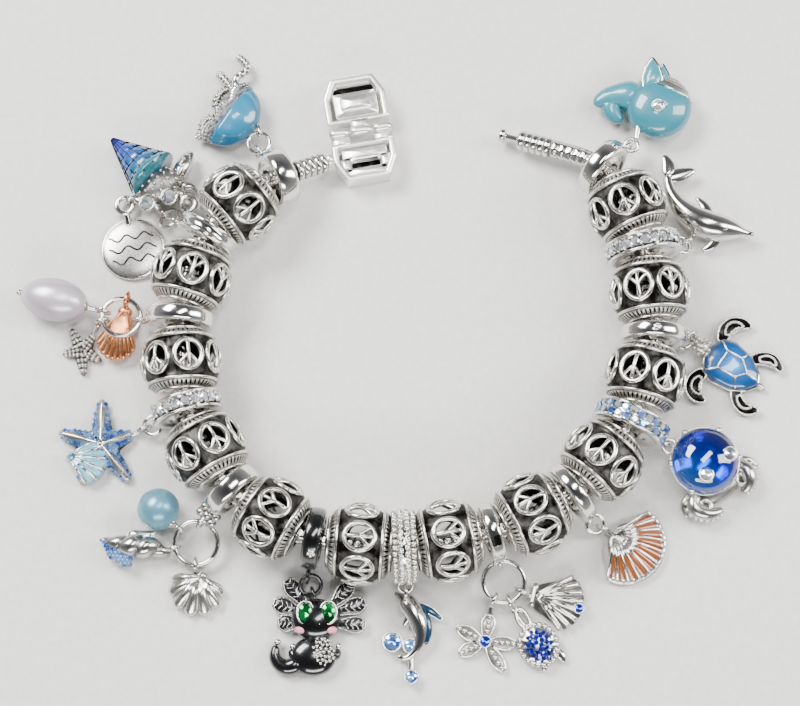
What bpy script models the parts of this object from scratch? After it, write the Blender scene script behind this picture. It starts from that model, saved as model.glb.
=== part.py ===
"""A silver charm bracelet lying open on a table.

A snake chain with a box clasp at one end and a button pin at the other carries twelve hollow
pierced beads and thirteen plain or stone-set bails. Each bail has a small eye, and charms hang
from the eyes on jump rings. All sizes are in millimetres, and MM turns them to metres.
"""
import math

import bmesh
import bpy
import numpy as np
from mathutils import Matrix, Vector

MM = 0.001
CLEARANCE = 0.3
WELD = 1e-7
CUT = 1e-5
SHARP_FROM = 40

# The chain: a soft route through its few chosen points, the beads resting on the table.
BEAD_RADIUS = 6.4
CHAIN_RADIUS = 1.5
CHAIN_ROUTE = [
    (-16.9, 30.1, 4.5), (-19.6, 28.8, 5.4), (-22.7, 26.9, 6.2), (-29.6, 20.2, BEAD_RADIUS),
    (-33.0, 12.4, BEAD_RADIUS), (-34.2, -1.4, BEAD_RADIUS), (-29.9, -15.8, BEAD_RADIUS),
    (-18.8, -26.8, BEAD_RADIUS), (-5.0, -30.2, BEAD_RADIUS), (8.3, -29.4, BEAD_RADIUS),
    (20.9, -25.2, BEAD_RADIUS), (31.1, -17.4, BEAD_RADIUS), (38.4, -3.6, BEAD_RADIUS),
    (39.1, 10.4, BEAD_RADIUS), (37.0, 21.4, BEAD_RADIUS), (34.0, 28.2, 6.2), (30.6, 31.6, 5.2),
    (27.4, 33.4, 3.9), (24.4, 34.5, 3.3),
]
CHAIN_STEP = 5.4
ROUTE_SAMPLES = 60

# The pierced beads: seven round windows in a barrel band, then a cone of a collar at each end.
BEAD_COUNT = 12
BEAD_LENGTH = 10.2
BAND_WIDTH = 6.4
RIM_RADIUS = 5.45
COLLAR_RADIUS = 2.35
BEAD_WALL = 0.6
WINDOWS = 7
WINDOW_RADIUS = 2.05
BORE_RADIUS = CHAIN_RADIUS + 0.4

# The bails: outer radius, width, how far the eye dips below level, how far it stands off the
# bail on a neck, and how far the bail is turned on the chain.
BAIL_COLUMNS = ("radius", "width", "dip", "neck", "turn")
BAIL_ROWS = [
    (4.6, 3.4, 24, 1.2, 0), (5.1, 2.4, 26, 1.0, 0), (5.4, 2.5, 26, 1.2, 0), (5.5, 3.0, 44, 0.0, 0),
    (4.7, 3.0, 28, 1.8, 0), (4.8, 2.6, 34, 0.8, 4), (5.4, 2.1, 26, 0.0, 0), (4.7, 2.2, 40, 0.0, 0),
    (5.1, 2.2, 40, 0.0, 0), (6.0, 3.2, 30, 0.0, 2), (5.2, 2.4, 48, 0.0, 0), (6.0, 3.0, 32, 0.0, 0),
    (4.8, 2.8, 22, 0.6, 2),
]
BAILS = [dict(zip(BAIL_COLUMNS, row)) for row in BAIL_ROWS]
NECK_RADIUS = 0.75
BAIL_SHOULDER = 0.6
BAIL_SIDES = 12
FIRST_BAIL_AT = 2.8
FLAT_EYE = 7

# Eyes, jump rings and the three big rings that carry several charms each.
EYE_RADIUS = 1.05
EYE_WIRE = 0.3
EYE_STAND = 0.78
RING_WIRE = 0.32
BIG_WIRE = 0.4
BIG_RADIUS_3 = 3.0
BIG_RADIUS_5 = 3.35
BIG_RADIUS_8 = 3.15
DISC_RADIUS = 5.15
DISC_LOOP = 1.3
DISC_WIRE = 0.42
EYE_HEIGHT = EYE_RADIUS + EYE_WIRE + 0.07

# Each charm: where its own loop is seen (mm), its bearing from there in degrees, its finish.
CHARMS = {
    "jellyfish": (-21.7, 37.3, 145, "turquoise"),
    "hermit_crab": (-37.8, 23.8, 123, "blue_enamel"),
    "white_pearl": (-47.6, 7.9, 168, "pearl"),
    "rose_shell": (-42.9, 9.6, -104, "rose_gold"),
    "grey_star": (-47.6, 5.6, -128, "aged_silver"),
    "blue_star": (-39.4, -10.8, -158.6, "blue_enamel"),
    "blue_pearl": (-33.7, -27.5, 134, "blue_pearl"),
    "conch": (-33.2, -30.4, 178, "silver"),
    "clam": (-30.1, -32.4, -106, "silver"),
    "axolotl": (-12.4, -36.5, -90, "black_enamel"),
    "dolphin_stones": (1.4, -36.0, -90, "silver"),
    "small_star": (15.3, -36.4, -110, "silver"),
    "pave_turtle": (16.8, -37.1, -62, "blue_enamel"),
    "fan_shell": (17.6, -36.2, -14, "silver"),
    "orange_shell": (30.8, -26.5, -32, "copper_enamel"),
    "crab": (43.0, -11.3, -54, "blue_glass"),
    "turtle": (45.0, 3.8, -33, "blue_enamel"),
    "silver_dolphin": (45.8, 19.5, 0, "silver"),
    "whale": (36.1, 37.5, 45, "turquoise"),
}

BODY_KEEP = 0.58

# The box clasp, opened flat, and the button pin that it closes on.
CLASP_WIDTH = 10.2
BASE_DEPTH = 6.8
LID_DEPTH = 8.4
CLASP_HEIGHT = 3.9
CLASP_WALL = 1.0
CLASP_CORNER = (1.6, 3.2)
CLASP_TURN = 10.0
CLASP_AT = (-6.3, 37.3)
HINGE_RADIUS = 0.8
HINGE_PIN = 0.35
FERRULE_RADIUS = 1.7
LEFT_FERRULE = 5.3
LEFT_NECK = 1.1
RIGHT_FERRULE = 5.4
SHANK_RADIUS = 0.5
SHANK_LENGTH = 2.2
BUTTON_RADIUS = 1.15
BUTTON_LENGTH = 1.0

SILVER = (0.78, 0.77, 0.75)
COLOURS = {
    "silver": (SILVER, 1.0, 0.2), "aged_silver": ((0.55, 0.53, 0.50), 1.0, 0.35),
    "black_enamel": ((0.01, 0.01, 0.012), 0.0, 0.15), "turquoise": ((0.11, 0.47, 0.63), 0.0, 0.2),
    "blue_enamel": ((0.02, 0.2, 0.6), 0.0, 0.2), "blue_glass": ((0.0, 0.05, 0.5), 0.0, 0.05),
    "pearl": ((0.8, 0.76, 0.78), 0.0, 0.3), "blue_pearl": ((0.3, 0.5, 0.6), 0.0, 0.3),
    "rose_gold": ((0.8, 0.42, 0.32), 1.0, 0.25), "copper_enamel": ((0.7, 0.38, 0.2), 0.3, 0.3),
}

parts = bpy.data.collections.new("charm_bracelet")
cutters = bpy.data.collections.new("cutters")


def start():
    for old in list(bpy.data.objects):
        bpy.data.objects.remove(old, do_unlink=True)
    bpy.context.scene.collection.children.link(parts)
    bpy.context.scene.collection.children.link(cutters)


def material(name):
    """One Principled material for each finish, made once and shared."""
    found = bpy.data.materials.get(name)
    if found:
        return found
    colour, metallic, roughness = COLOURS[name]
    made = bpy.data.materials.new(name)
    made.use_nodes = True
    shader = made.node_tree.nodes["Principled BSDF"]
    shader.inputs["Base Color"].default_value = (*colour, 1.0)
    shader.inputs["Metallic"].default_value = metallic
    shader.inputs["Roughness"].default_value = roughness
    return made


def baked(source):
    """The evaluated mesh of an object as a new mesh, the object then removed."""
    bpy.context.view_layer.update()
    graph = bpy.context.evaluated_depsgraph_get()
    mesh = bpy.data.meshes.new_from_object(source.evaluated_get(graph), depsgraph=graph)
    bpy.data.objects.remove(source, do_unlink=True)
    bm = bmesh.new()
    bm.from_mesh(mesh)
    bmesh.ops.remove_doubles(bm, verts=bm.verts, dist=WELD)
    bmesh.ops.delete(bm, geom=[edge for edge in bm.edges if edge.is_wire], context="EDGES")
    bm.to_mesh(mesh)
    bm.free()
    return mesh


def solid(bm):
    """A bmesh in millimetres as a mesh in metres, its faces turned outwards."""
    bmesh.ops.recalc_face_normals(bm, faces=bm.faces)
    bmesh.ops.scale(bm, vec=(MM, MM, MM), verts=bm.verts)
    mesh = bpy.data.meshes.new("piece")
    bm.to_mesh(mesh)
    bm.free()
    return mesh


def ball(centre, radii, segments=8, rings=6):
    bm = bmesh.new()
    bmesh.ops.create_uvsphere(bm, u_segments=segments, v_segments=rings, radius=1.0)
    size = Matrix.Diagonal((*radii, 1.0))
    bmesh.ops.transform(bm, matrix=Matrix.Translation(centre) @ size, verts=bm.verts)
    return solid(bm)


def half_ball(centre, radii, away, segments, rings):
    """A ball cut flat through its centre: the half that looks away is taken off."""
    bm = bmesh.new()
    bmesh.ops.create_uvsphere(bm, u_segments=segments, v_segments=rings, radius=1.0)
    geometry = bm.verts[:] + bm.edges[:] + bm.faces[:]
    bmesh.ops.bisect_plane(bm, geom=geometry, dist=CUT, plane_co=(0, 0, 0), plane_no=away,
                           clear_outer=True)
    rim = [edge for edge in bm.edges if edge.is_boundary]
    bmesh.ops.holes_fill(bm, edges=rim)
    size = Matrix.Diagonal((*radii, 1.0))
    bmesh.ops.transform(bm, matrix=Matrix.Translation(centre) @ size, verts=bm.verts)
    return solid(bm)


def cone(base, tip, base_radius, tip_radius, segments=10):
    """A round cone or cylinder from one point to another."""
    base, tip = Vector(base), Vector(tip)
    bm = bmesh.new()
    bmesh.ops.create_cone(bm, cap_ends=True, segments=segments, radius1=base_radius,
                          radius2=tip_radius, depth=(tip - base).length)
    turn = (tip - base).to_track_quat("Z", "Y").to_matrix().to_4x4()
    bmesh.ops.transform(bm, matrix=Matrix.Translation((base + tip) / 2) @ turn, verts=bm.verts)
    return solid(bm)


def block(low, high):
    low, high = Vector(low), Vector(high)
    bm = bmesh.new()
    bmesh.ops.create_cube(bm, size=1.0)
    size = Matrix.Diagonal((*(high - low), 1.0))
    bmesh.ops.transform(bm, matrix=Matrix.Translation((low + high) / 2) @ size, verts=bm.verts)
    return solid(bm)


def hoop(centre, radius, wire, plane="XZ", turns=8, sides=5):
    """A closed wire ring: its hole looks along the axis that its plane leaves out."""
    bpy.ops.mesh.primitive_torus_add(major_segments=turns, minor_segments=sides,
                                     major_radius=radius * MM, minor_radius=wire * MM)
    ring = bpy.context.object
    mesh = ring.data
    bpy.data.objects.remove(ring, do_unlink=True)
    turn = {"XY": Matrix(), "XZ": Matrix.Rotation(math.pi / 2, 4, "X"),
            "YZ": Matrix.Rotation(math.pi / 2, 4, "Y")}[plane]
    mesh.transform(Matrix.Translation(Vector(centre) * MM) @ turn)
    return mesh


def rod(points, radii, resolution=0, flatten=1.0):
    """A wire or tapered body along points, with a radius at each, flattened towards its level."""
    curve = bpy.data.curves.new("rod", "CURVE")
    curve.dimensions = "3D"
    curve.bevel_depth = MM
    curve.bevel_resolution = resolution
    curve.use_fill_caps = True
    curve.twist_mode = "Z_UP"
    spline = curve.splines.new("POLY")
    spline.points.add(len(points) - 1)
    for point, place, radius in zip(spline.points, points, radii):
        point.co = (*(Vector(place) * MM), 1.0)
        point.radius = radius
    holder = bpy.data.objects.new("rod", curve)
    cutters.objects.link(holder)
    mesh = baked(holder)
    if flatten != 1.0:
        level = points[0][2] * MM
        squeeze = Matrix.Diagonal((1.0, 1.0, flatten, 1.0))
        lift = Matrix.Translation((0, 0, level))
        mesh.transform(lift @ squeeze @ lift.inverted())
    return mesh


def plate(outline, low, high):
    """A flat outline, given counter-clockwise, as a slab between two heights."""
    curve = bpy.data.curves.new("plate", "CURVE")
    curve.dimensions = "2D"
    curve.fill_mode = "BOTH"
    curve.extrude = (high - low) / 2 * MM
    spline = curve.splines.new("POLY")
    spline.use_cyclic_u = True
    spline.points.add(len(outline) - 1)
    for point, place in zip(spline.points, outline):
        point.co = (place[0] * MM, place[1] * MM, 0.0, 1.0)
    holder = bpy.data.objects.new("plate", curve)
    cutters.objects.link(holder)
    mesh = baked(holder)
    mesh.transform(Matrix.Translation((0, 0, (low + high) / 2 * MM)))
    return mesh


def star(centre, tips, low, high, waist):
    """A star: a flat outline through its tips, with each arm rising to a ridge."""
    centre = Vector((*centre, 0.0))
    ordered = sorted(tips, key=lambda tip: math.atan2(tip[1] - centre.y, tip[0] - centre.x))
    bm = bmesh.new()
    rim = []
    for here, after in zip(ordered, ordered[1:] + ordered[:1]):
        here, after = Vector((*here, 0.0)), Vector((*after, 0.0))
        valley = centre + ((here - centre).normalized() + (after - centre).normalized()) * waist
        rim += [here, valley]
    floor = [bm.verts.new((*point.xy, low)) for point in rim]
    edge = [bm.verts.new((*point.xy, low + (high - low) * 0.45)) for point in rim]
    top = bm.verts.new((centre.x, centre.y, high))
    bm.faces.new(list(reversed(floor)))
    for i in range(len(rim)):
        j = (i + 1) % len(rim)
        bm.faces.new((floor[i], floor[j], edge[j], edge[i]))
        bm.faces.new((edge[i], edge[j], top))
    return solid(bm)


def scallop(umbo, reach, spread, low, rise, ribs=7, ears=0.0):
    """A fan shell: ribs from the umbo to a scalloped arc, domed over a flat back."""
    bm = bmesh.new()
    count = 2 * ribs
    arc = []
    for i in range(count + 1):
        angle = math.radians(spread) * (i / count - 0.5)
        length = reach * (1.0 - 0.10 * abs(i / count - 0.5) * 2 - (0.0 if i % 2 else 0.05))
        arc.append((umbo[0] + length * math.cos(angle), umbo[1] + length * math.sin(angle)))
    back = [(umbo[0] - 0.3, umbo[1] + ears), (umbo[0] - 0.3, umbo[1] - ears)]
    outline = arc + back
    floor = [bm.verts.new((x, y, low)) for x, y in outline]
    rim = [bm.verts.new((x, y, low + rise * 0.35)) for x, y in outline]
    crown = [bm.verts.new((umbo[0] + (x - umbo[0]) * 0.5, umbo[1] + (y - umbo[1]) * 0.5,
                           low + rise * (0.92 if i % 2 else 1.0)))
             for i, (x, y) in enumerate(arc)]
    umbo_top = bm.verts.new((umbo[0], umbo[1], low + rise * 0.75))
    bm.faces.new(list(reversed(floor)))
    for i in range(len(outline)):
        j = (i + 1) % len(outline)
        bm.faces.new((floor[i], floor[j], rim[j], rim[i]))
    for i in range(len(arc) - 1):
        bm.faces.new((rim[i], rim[i + 1], crown[i + 1], crown[i]))
        bm.faces.new((crown[i], crown[i + 1], umbo_top))
    last, first_back, second_back = len(arc) - 1, len(arc), len(arc) + 1
    bm.faces.new((rim[last], rim[first_back], umbo_top, crown[last]))
    bm.faces.new((rim[first_back], rim[second_back], umbo_top))
    bm.faces.new((rim[second_back], rim[0], crown[0], umbo_top))
    return solid(bm)


def node(name, mesh, finish, matrix):
    """A finished sub-part: its mesh placed by a matrix whose shift is in millimetres."""
    mesh.name = name
    mesh.materials.clear()
    mesh.materials.append(material(finish))
    made = bpy.data.objects.new(name, mesh)
    placed = matrix.copy()
    placed.translation = matrix.translation * MM
    made.matrix_world = placed
    parts.objects.link(made)
    mesh.shade_smooth()
    mesh.set_sharp_from_angle(angle=math.radians(SHARP_FROM))
    return made


def fused(pieces, cuts=(), keep=1.0):
    """Closed meshes joined into one body, then cut, then thinned to a share of its triangles."""
    base = bpy.data.objects.new("base", pieces[0])
    cutters.objects.link(base)
    helpers = []
    for mesh, operation in [(m, "UNION") for m in pieces[1:]] + [(m, "DIFFERENCE") for m in cuts]:
        helper = bpy.data.objects.new("helper", mesh)
        helper.hide_render = True
        helper.display_type = "WIRE"
        cutters.objects.link(helper)
        step = base.modifiers.new("step", "BOOLEAN")
        step.operation = operation
        step.solver = "EXACT"
        step.object = helper
        helpers.append(helper)
    if keep < 1.0:
        base.modifiers.new("fewer", "DECIMATE").ratio = keep
    mesh = baked(base)
    for helper in helpers:
        bpy.data.objects.remove(helper, do_unlink=True)
    return mesh


def smooth_route(points):
    """A natural cubic spline through the points, sampled finely: places and lengths along it."""
    knots = np.array(points, dtype=float)
    spans = np.linalg.norm(np.diff(knots, axis=0), axis=1)
    at = np.concatenate([[0.0], np.cumsum(spans)])
    count = len(knots)
    system = np.eye(count)
    right = np.zeros_like(knots)
    for i in range(1, count - 1):
        system[i, i - 1:i + 2] = spans[i - 1], 2 * (spans[i - 1] + spans[i]), spans[i]
        slope_after = (knots[i + 1] - knots[i]) / spans[i]
        slope_before = (knots[i] - knots[i - 1]) / spans[i - 1]
        right[i] = 6 * (slope_after - slope_before)
    bend = np.linalg.solve(system, right)
    fine = []
    for i in range(count - 1):
        t = np.linspace(0.0, 1.0, ROUTE_SAMPLES, endpoint=False)[:, None]
        h = spans[i]
        low, high = 1 - t, t
        fine.append(low * knots[i] + high * knots[i + 1]
                    + h * h / 6 * ((low ** 3 - low) * bend[i] + (high ** 3 - high) * bend[i + 1]))
    fine.append(knots[-1:])
    places = np.concatenate(fine)
    lengths = np.concatenate([[0.0], np.cumsum(np.linalg.norm(np.diff(places, axis=0), axis=1))])
    return places, lengths


ROUTE, ALONG = smooth_route(CHAIN_ROUTE)
CHAIN_LENGTH = float(ALONG[-1])


def on_chain(s):
    return Vector([float(np.interp(s, ALONG, ROUTE[:, axis])) for axis in range(3)])


def heading(s, reach=0.4):
    return (on_chain(s + reach) - on_chain(s - reach)).normalized()


def seat(s, half_length):
    """A bead's matrix: X along the chord that its chain stretch spans, resting on the table."""
    before, after = on_chain(s - half_length), on_chain(s + half_length)
    chord = after - before
    ahead = Vector((chord.x, chord.y, 0.0)).normalized()
    across = Vector((0, 0, 1)).cross(ahead)
    matrix = Matrix((ahead, across, Vector((0, 0, 1)))).transposed().to_4x4()
    middle = (before + after) / 2
    matrix.translation = (middle.x, middle.y, BEAD_RADIUS)
    return matrix


def strung():
    """Where each bail and bead sits along the chain, packed with a gap that its bend needs."""
    bails, beads = [FIRST_BAIL_AT], []
    at = FIRST_BAIL_AT
    for number in range(BEAD_COUNT):
        for width in (BAILS[number]["width"], BAILS[number + 1]["width"]):
            reach = BEAD_LENGTH / 2 + width / 2 + CLEARANCE
            bend = heading(at).angle(heading(at + reach))
            at += reach + COLLAR_RADIUS * math.sin(bend)
            (beads if len(beads) < len(bails) else bails).append(at)
    return bails, beads


BAIL_AT, BEAD_AT = strung()


def make_chain():
    steps = round(CHAIN_LENGTH / CHAIN_STEP)
    places = [on_chain(CHAIN_LENGTH * i / steps) for i in range(steps + 1)]
    mesh = rod(places, [CHAIN_RADIUS] * len(places), resolution=2)
    node("snake_chain", mesh, "silver", Matrix())


def bead_mesh():
    """An open sheet of seven cells with a round window each, then two collars, made solid."""
    bm = bmesh.new()
    half_band, half_length, half_cell = BAND_WIDTH / 2, BEAD_LENGTH / 2, math.pi / WINDOWS
    found = {}

    def vertex(x, radius, angle):
        key = (round(x, 4), round(radius, 4), round(angle % (2 * math.pi), 4) % 6.2832)
        if key not in found:
            found[key] = bm.verts.new((x, radius * math.cos(angle), radius * math.sin(angle)))
        return found[key]

    def barrel(x):
        return BEAD_RADIUS - (BEAD_RADIUS - RIM_RADIUS) * (x / half_band) ** 2

    for cell in range(WINDOWS):
        middle = 2 * half_cell * cell + math.pi / 2
        sides = [(1, 0), (1, 1), (0, 1), (-1, 1), (-1, 0), (-1, -1), (0, -1), (1, -1)]
        frame = [vertex(half_band * a, barrel(half_band * a), middle + half_cell * b)
                 for a, b in sides]
        window = []
        for turn in range(8):
            x = WINDOW_RADIUS * math.cos(turn * math.pi / 4)
            swing = WINDOW_RADIUS * math.sin(turn * math.pi / 4) / BEAD_RADIUS
            window.append(vertex(x, barrel(x), middle + swing))
        for i in range(8):
            j = (i + 1) % 8
            bm.faces.new((frame[i], frame[j], window[j], window[i]))
        for side in (-1, 1):
            for b in (-1, 0):
                profile = [(half_band, RIM_RADIUS), (half_length, COLLAR_RADIUS)]
                for (xa, ra), (xb, rb) in zip(profile, profile[1:]):
                    begin, end = middle + half_cell * b, middle + half_cell * (b + 1)
                    bm.faces.new((vertex(side * xa, ra, begin), vertex(side * xb, rb, begin),
                                  vertex(side * xb, rb, end), vertex(side * xa, ra, end)))
    bmesh.ops.recalc_face_normals(bm, faces=bm.faces)
    bmesh.ops.scale(bm, vec=(MM, MM, MM), verts=bm.verts)
    mesh = bpy.data.meshes.new("bead")
    bm.to_mesh(mesh)
    bm.free()
    holder = bpy.data.objects.new("bead", mesh)
    cutters.objects.link(holder)
    wall = holder.modifiers.new("wall", "SOLIDIFY")
    wall.thickness = BEAD_WALL * MM
    wall.offset = -1.0
    wall.use_even_offset = True
    return baked(holder)


def make_beads():
    mesh = bead_mesh()
    for number, s in enumerate(BEAD_AT, start=1):
        node(f"bead_{number:02d}", mesh.copy(), "aged_silver", seat(s, BEAD_LENGTH / 2))


def bail_mesh(radius, width, reach, flat_eye=False):
    """A turned ring with a rounded outside and a wire eye soldered to it at +X, on a neck."""
    half = width / 2
    profile = [(radius - BAIL_SHOULDER, half), (radius, 0.0), (radius - BAIL_SHOULDER, -half),
               (BORE_RADIUS, -half), (BORE_RADIUS, half)]
    mesh = bpy.data.meshes.new("bail")
    places = [(x * MM, 0.0, z * MM) for x, z in profile]
    mesh.from_pydata(places, [(i, (i + 1) % len(profile)) for i in range(len(profile))], [])
    holder = bpy.data.objects.new("bail", mesh)
    cutters.objects.link(holder)
    turned = holder.modifiers.new("turned", "SCREW")
    turned.steps = turned.render_steps = BAIL_SIDES
    turned.use_merge_vertices = True
    turned.merge_threshold = WELD
    ring = baked(holder)
    eye = hoop((radius + EYE_STAND + reach, 0, 0), EYE_RADIUS, EYE_WIRE,
               "XZ" if flat_eye else "XY")
    if not reach:
        return fused([ring, eye])
    stem = cone((radius - 0.4, 0, 0), (radius + reach - 0.15, 0, 0), NECK_RADIUS, NECK_RADIUS, 6)
    return fused([ring, stem, eye])


def bail_matrix(number):
    """Z along the chain, X outwards, dipped and turned by the bail's own angles."""
    s, bail = BAIL_AT[number - 1], BAILS[number - 1]
    ahead = Matrix.Rotation(math.radians(bail["turn"]), 3, "Z") @ heading(s)
    level = Vector((ahead.y, -ahead.x, 0.0)).normalized()
    dip = math.radians(bail["dip"])
    out = (level * math.cos(dip) + level.cross(ahead).normalized() * -math.sin(dip)).normalized()
    matrix = Matrix((out, ahead.cross(out), ahead)).transposed().to_4x4()
    matrix.translation = on_chain(s)
    return matrix


def eye_of(number):
    bail = BAILS[number - 1]
    return bail_matrix(number) @ Vector((bail["radius"] + EYE_STAND + bail["neck"], 0, 0))


def linked(number):
    """Where a charm's own loop has its centre when it passes straight through a bail's eye."""
    out = bail_matrix(number).col[0].xyz
    if number != FLAT_EYE:
        out = Vector((out.x, out.y, 0.0)).normalized()
    return eye_of(number) + out * EYE_RADIUS


def make_bails():
    for number, bail in enumerate(BAILS, start=1):
        finish = "black_enamel" if number == 6 else "silver"
        mesh = bail_mesh(bail["radius"], bail["width"], bail["neck"], flat_eye=number == FLAT_EYE)
        node(f"bail_{number:02d}", mesh, finish, bail_matrix(number))


def ring_matrix(start_point, bearing, radius, end_height):
    """A ring's place: it starts through one eye and leans down to a far height on a bearing."""
    drop = start_point.z - end_height
    level = math.sqrt(max((2 * radius) ** 2 - drop ** 2, 0.01))
    far = start_point + Vector((level * math.cos(bearing), level * math.sin(bearing), -drop))
    out = (far - start_point).normalized()
    side = Vector((-math.sin(bearing), math.cos(bearing), 0.0))
    matrix = Matrix((out, side, out.cross(side))).transposed().to_4x4()
    matrix.translation = (start_point + far) / 2
    return matrix


def hung(number, bearing, radius, name, wire=RING_WIRE, height=EYE_HEIGHT, finish="silver"):
    """A jump ring through a bail's eye. Gives its place and wire's direction at an angle."""
    matrix = ring_matrix(eye_of(number), math.radians(bearing), radius, height)
    node(name, hoop((0, 0, 0), radius, wire, "XY", turns=14 if radius > 2 else 10), finish, matrix)

    def on_ring(degrees=0.0):
        turn = math.radians(degrees)
        place = matrix @ Vector((radius * math.cos(turn), radius * math.sin(turn), 0.0))
        return place, matrix.to_3x3() @ Vector((-math.sin(turn), math.cos(turn), 0.0))
    return on_ring


def charm(name, place, wire, body, root, thickness=0.5):
    """A charm lying where it is seen, held by its own wire loop.

    The body is drawn in the charm's frame: zero is where its loop is seen, X is its bearing.
    The loop's centre is at the place, its hole looking along the wire that passes through it, or
    up if the wire is None. A stem joins the loop to the root, a point in the body.
    """
    x, y, bearing, finish = CHARMS[name]
    matrix = Matrix.Rotation(math.radians(bearing), 4, "Z")
    matrix.translation = (x, y, 0.0)
    held = matrix.inverted() @ place
    side = EYE_RADIUS * math.sqrt(0.5)
    if wire is None:
        loop = hoop(held, EYE_RADIUS, EYE_WIRE, "XY")
        foot = held + Vector((EYE_RADIUS, 0, 0))
    else:
        turn = math.atan2(wire.y, wire.x) - math.radians(bearing) - math.pi / 2
        if math.cos(turn) < 0:
            turn += math.pi
        loop = hoop((0, 0, 0), EYE_RADIUS, EYE_WIRE, "XZ")
        loop.transform(Matrix.Translation(held * MM) @ Matrix.Rotation(turn, 4, "Z"))
        foot = held + Vector((side * math.cos(turn), side * math.sin(turn), -side))
    stem = rod([foot, root], [EYE_WIRE + 0.1, thickness], resolution=1)
    node(name, fused([fused(body, keep=BODY_KEEP), stem, loop]), finish, matrix)
    return matrix


def make_jellyfish():
    on_ring = hung(1, 88, 1.75, "jellyfish_ring", height=2.6)
    bell = half_ball((6.4, 0.8, 2.8), (4.7, 5.5, 2.75), (1, 0, 0), 10, 6)
    frill = rod([(6.9, -4.5, 3.0), (7.1, -1.2, 3.35), (7.1, 2.8, 3.35), (6.9, 6.1, 3.0)],
                [0.9, 1.3, 1.3, 0.9], resolution=1)
    arms = [
        [(6.6, -1.5, 2.6), (9.6, -3.6, 1.9), (12.6, -4.3, 1.3)],
        [(6.6, -3.0, 2.8), (9.5, -5.3, 2.2), (9.1, -7.6, 1.7), (10.4, -8.4, 1.3), (12.0, -8.6, 1.0)],
        [(6.6, 2.2, 2.6), (8.0, 4.8, 2.0), (9.6, 7.4, 1.2)],
        [(6.6, 0.8, 2.4), (9.4, 0.6, 1.8), (10.2, -1.8, 1.4)],
    ]
    wires = [rod(arm, [0.6] * len(arm)) for arm in arms]
    charm("jellyfish", *on_ring(), [bell, frill, *wires], (2.6, 0.1, 2.6))


def make_hermit_crab():
    on_ring = hung(2, 140, 1.68, "crab_ring")
    shell = cone((6.4, -1.9, 3.9), (15.4, 0.2, 2.2), 3.85, 0.5, segments=12)
    body = ball((4.2, -1.9, 2.7), (2.6, 3.9, 2.2))
    cups = [cone((x, y, 2.7), (x, y, 4.6), 1.25, 1.25, 7) for x, y in ((2.3, 1.3), (1.3, -2.2))]
    claw = rod([(4.6, -4.4, 2.2), (5.6, -6.6, 2.2), (6.4, -8.6, 1.6)], [1.0, 1.15, 0.7])
    curl = hoop((-0.9, -4.3, 3.0), 1.15, 0.5, "XY", turns=7)
    arm = rod([(2.8, -3.2, 2.8), (0.2, -4.3, 3.0)], [0.8, 0.6])
    side_eye = hoop((5.0, 3.0, EYE_HEIGHT), EYE_RADIUS, EYE_WIRE, "YZ")
    side_stem = rod([(5.0, 2.2, 2.1), (4.8, 0.6, 2.6)], [0.45, 0.8])
    pieces = [body, shell, *cups, claw, arm, curl, side_stem, side_eye]
    matrix = charm("hermit_crab", *on_ring(), pieces, (3.0, 0.0, 1.8), 0.8)
    make_disc(matrix @ Vector((5.0, 3.0, EYE_HEIGHT)))


def make_disc(held):
    """A plain domed disc whose wide flat loop passes through the hermit crab's side eye."""
    reach = DISC_LOOP + DISC_WIRE + DISC_RADIUS + 0.35
    plate_body = cone((reach, 0, 0.05), (reach, 0, 1.1), DISC_RADIUS, DISC_RADIUS - 0.35, 20)
    tab = rod([(DISC_LOOP, 0, EYE_HEIGHT), (DISC_LOOP + 1.8, 0, 0.7)], [0.5, 0.6])
    loop = hoop((0, 0, EYE_HEIGHT), DISC_LOOP, DISC_WIRE, "XY", 12)
    matrix = Matrix.Rotation(math.radians(-78), 4, "Z")
    matrix.translation = (held.x - DISC_LOOP * 0.8, held.y - DISC_LOOP * 0.6, 0.0)
    node("disc", fused([plate_body, tab, loop]), "silver", matrix)


def make_pearl_and_shells():
    on_ring = hung(3, 170, BIG_RADIUS_3, "ring_03", wire=BIG_WIRE, height=3.6)
    pearl = ball((7.0, 0, 3.45), (5.35, 3.4, 3.4), 12, 8)
    pin_end = cone((11.8, 0, 3.45), (12.9, 0, 3.45), 0.45, 0.45, 6)
    charm("white_pearl", *on_ring(-8), [pearl, pin_end], (2.6, 0.1, 3.4))
    shell = scallop((2.4, 0), 6.8, 62, 1.45, 1.2, ribs=6, ears=0.9)
    charm("rose_shell", *on_ring(-95), [shell], (3.0, 0, 2.0), 0.6)
    tips = [(7.0, -1.6), (2.8, -3.4), (7.6, 3.0), (4.0, 3.8), (1.2, 0.2)]
    body = star((4.6, 0.3), tips, 0.05, 1.15, 0.95)
    charm("grey_star", *on_ring(24), [body], (1.9, 0.2, 0.5), 0.45)


def make_blue_star():
    on_ring = hung(4, 200, 1.45, "star_ring")
    tips = [(2.2, 0.0), (5.0, -7.2), (13.3, -4.6), (5.4, 7.1), (13.0, 4.4)]
    body = star((7.6, -0.1), tips, 0.05, 2.1, 1.55)
    fan = scallop((0, 0), 6.2, 70, 0.9, 1.9, ribs=4, ears=0.7)
    fan.transform(Matrix.Translation(Vector((12.8, 0.1, 0)) * MM)
                  @ Matrix.Rotation(math.radians(148), 4, "Z"))
    charm("blue_star", *on_ring(), [body, fan], (4.0, 0, 0.7))


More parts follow.
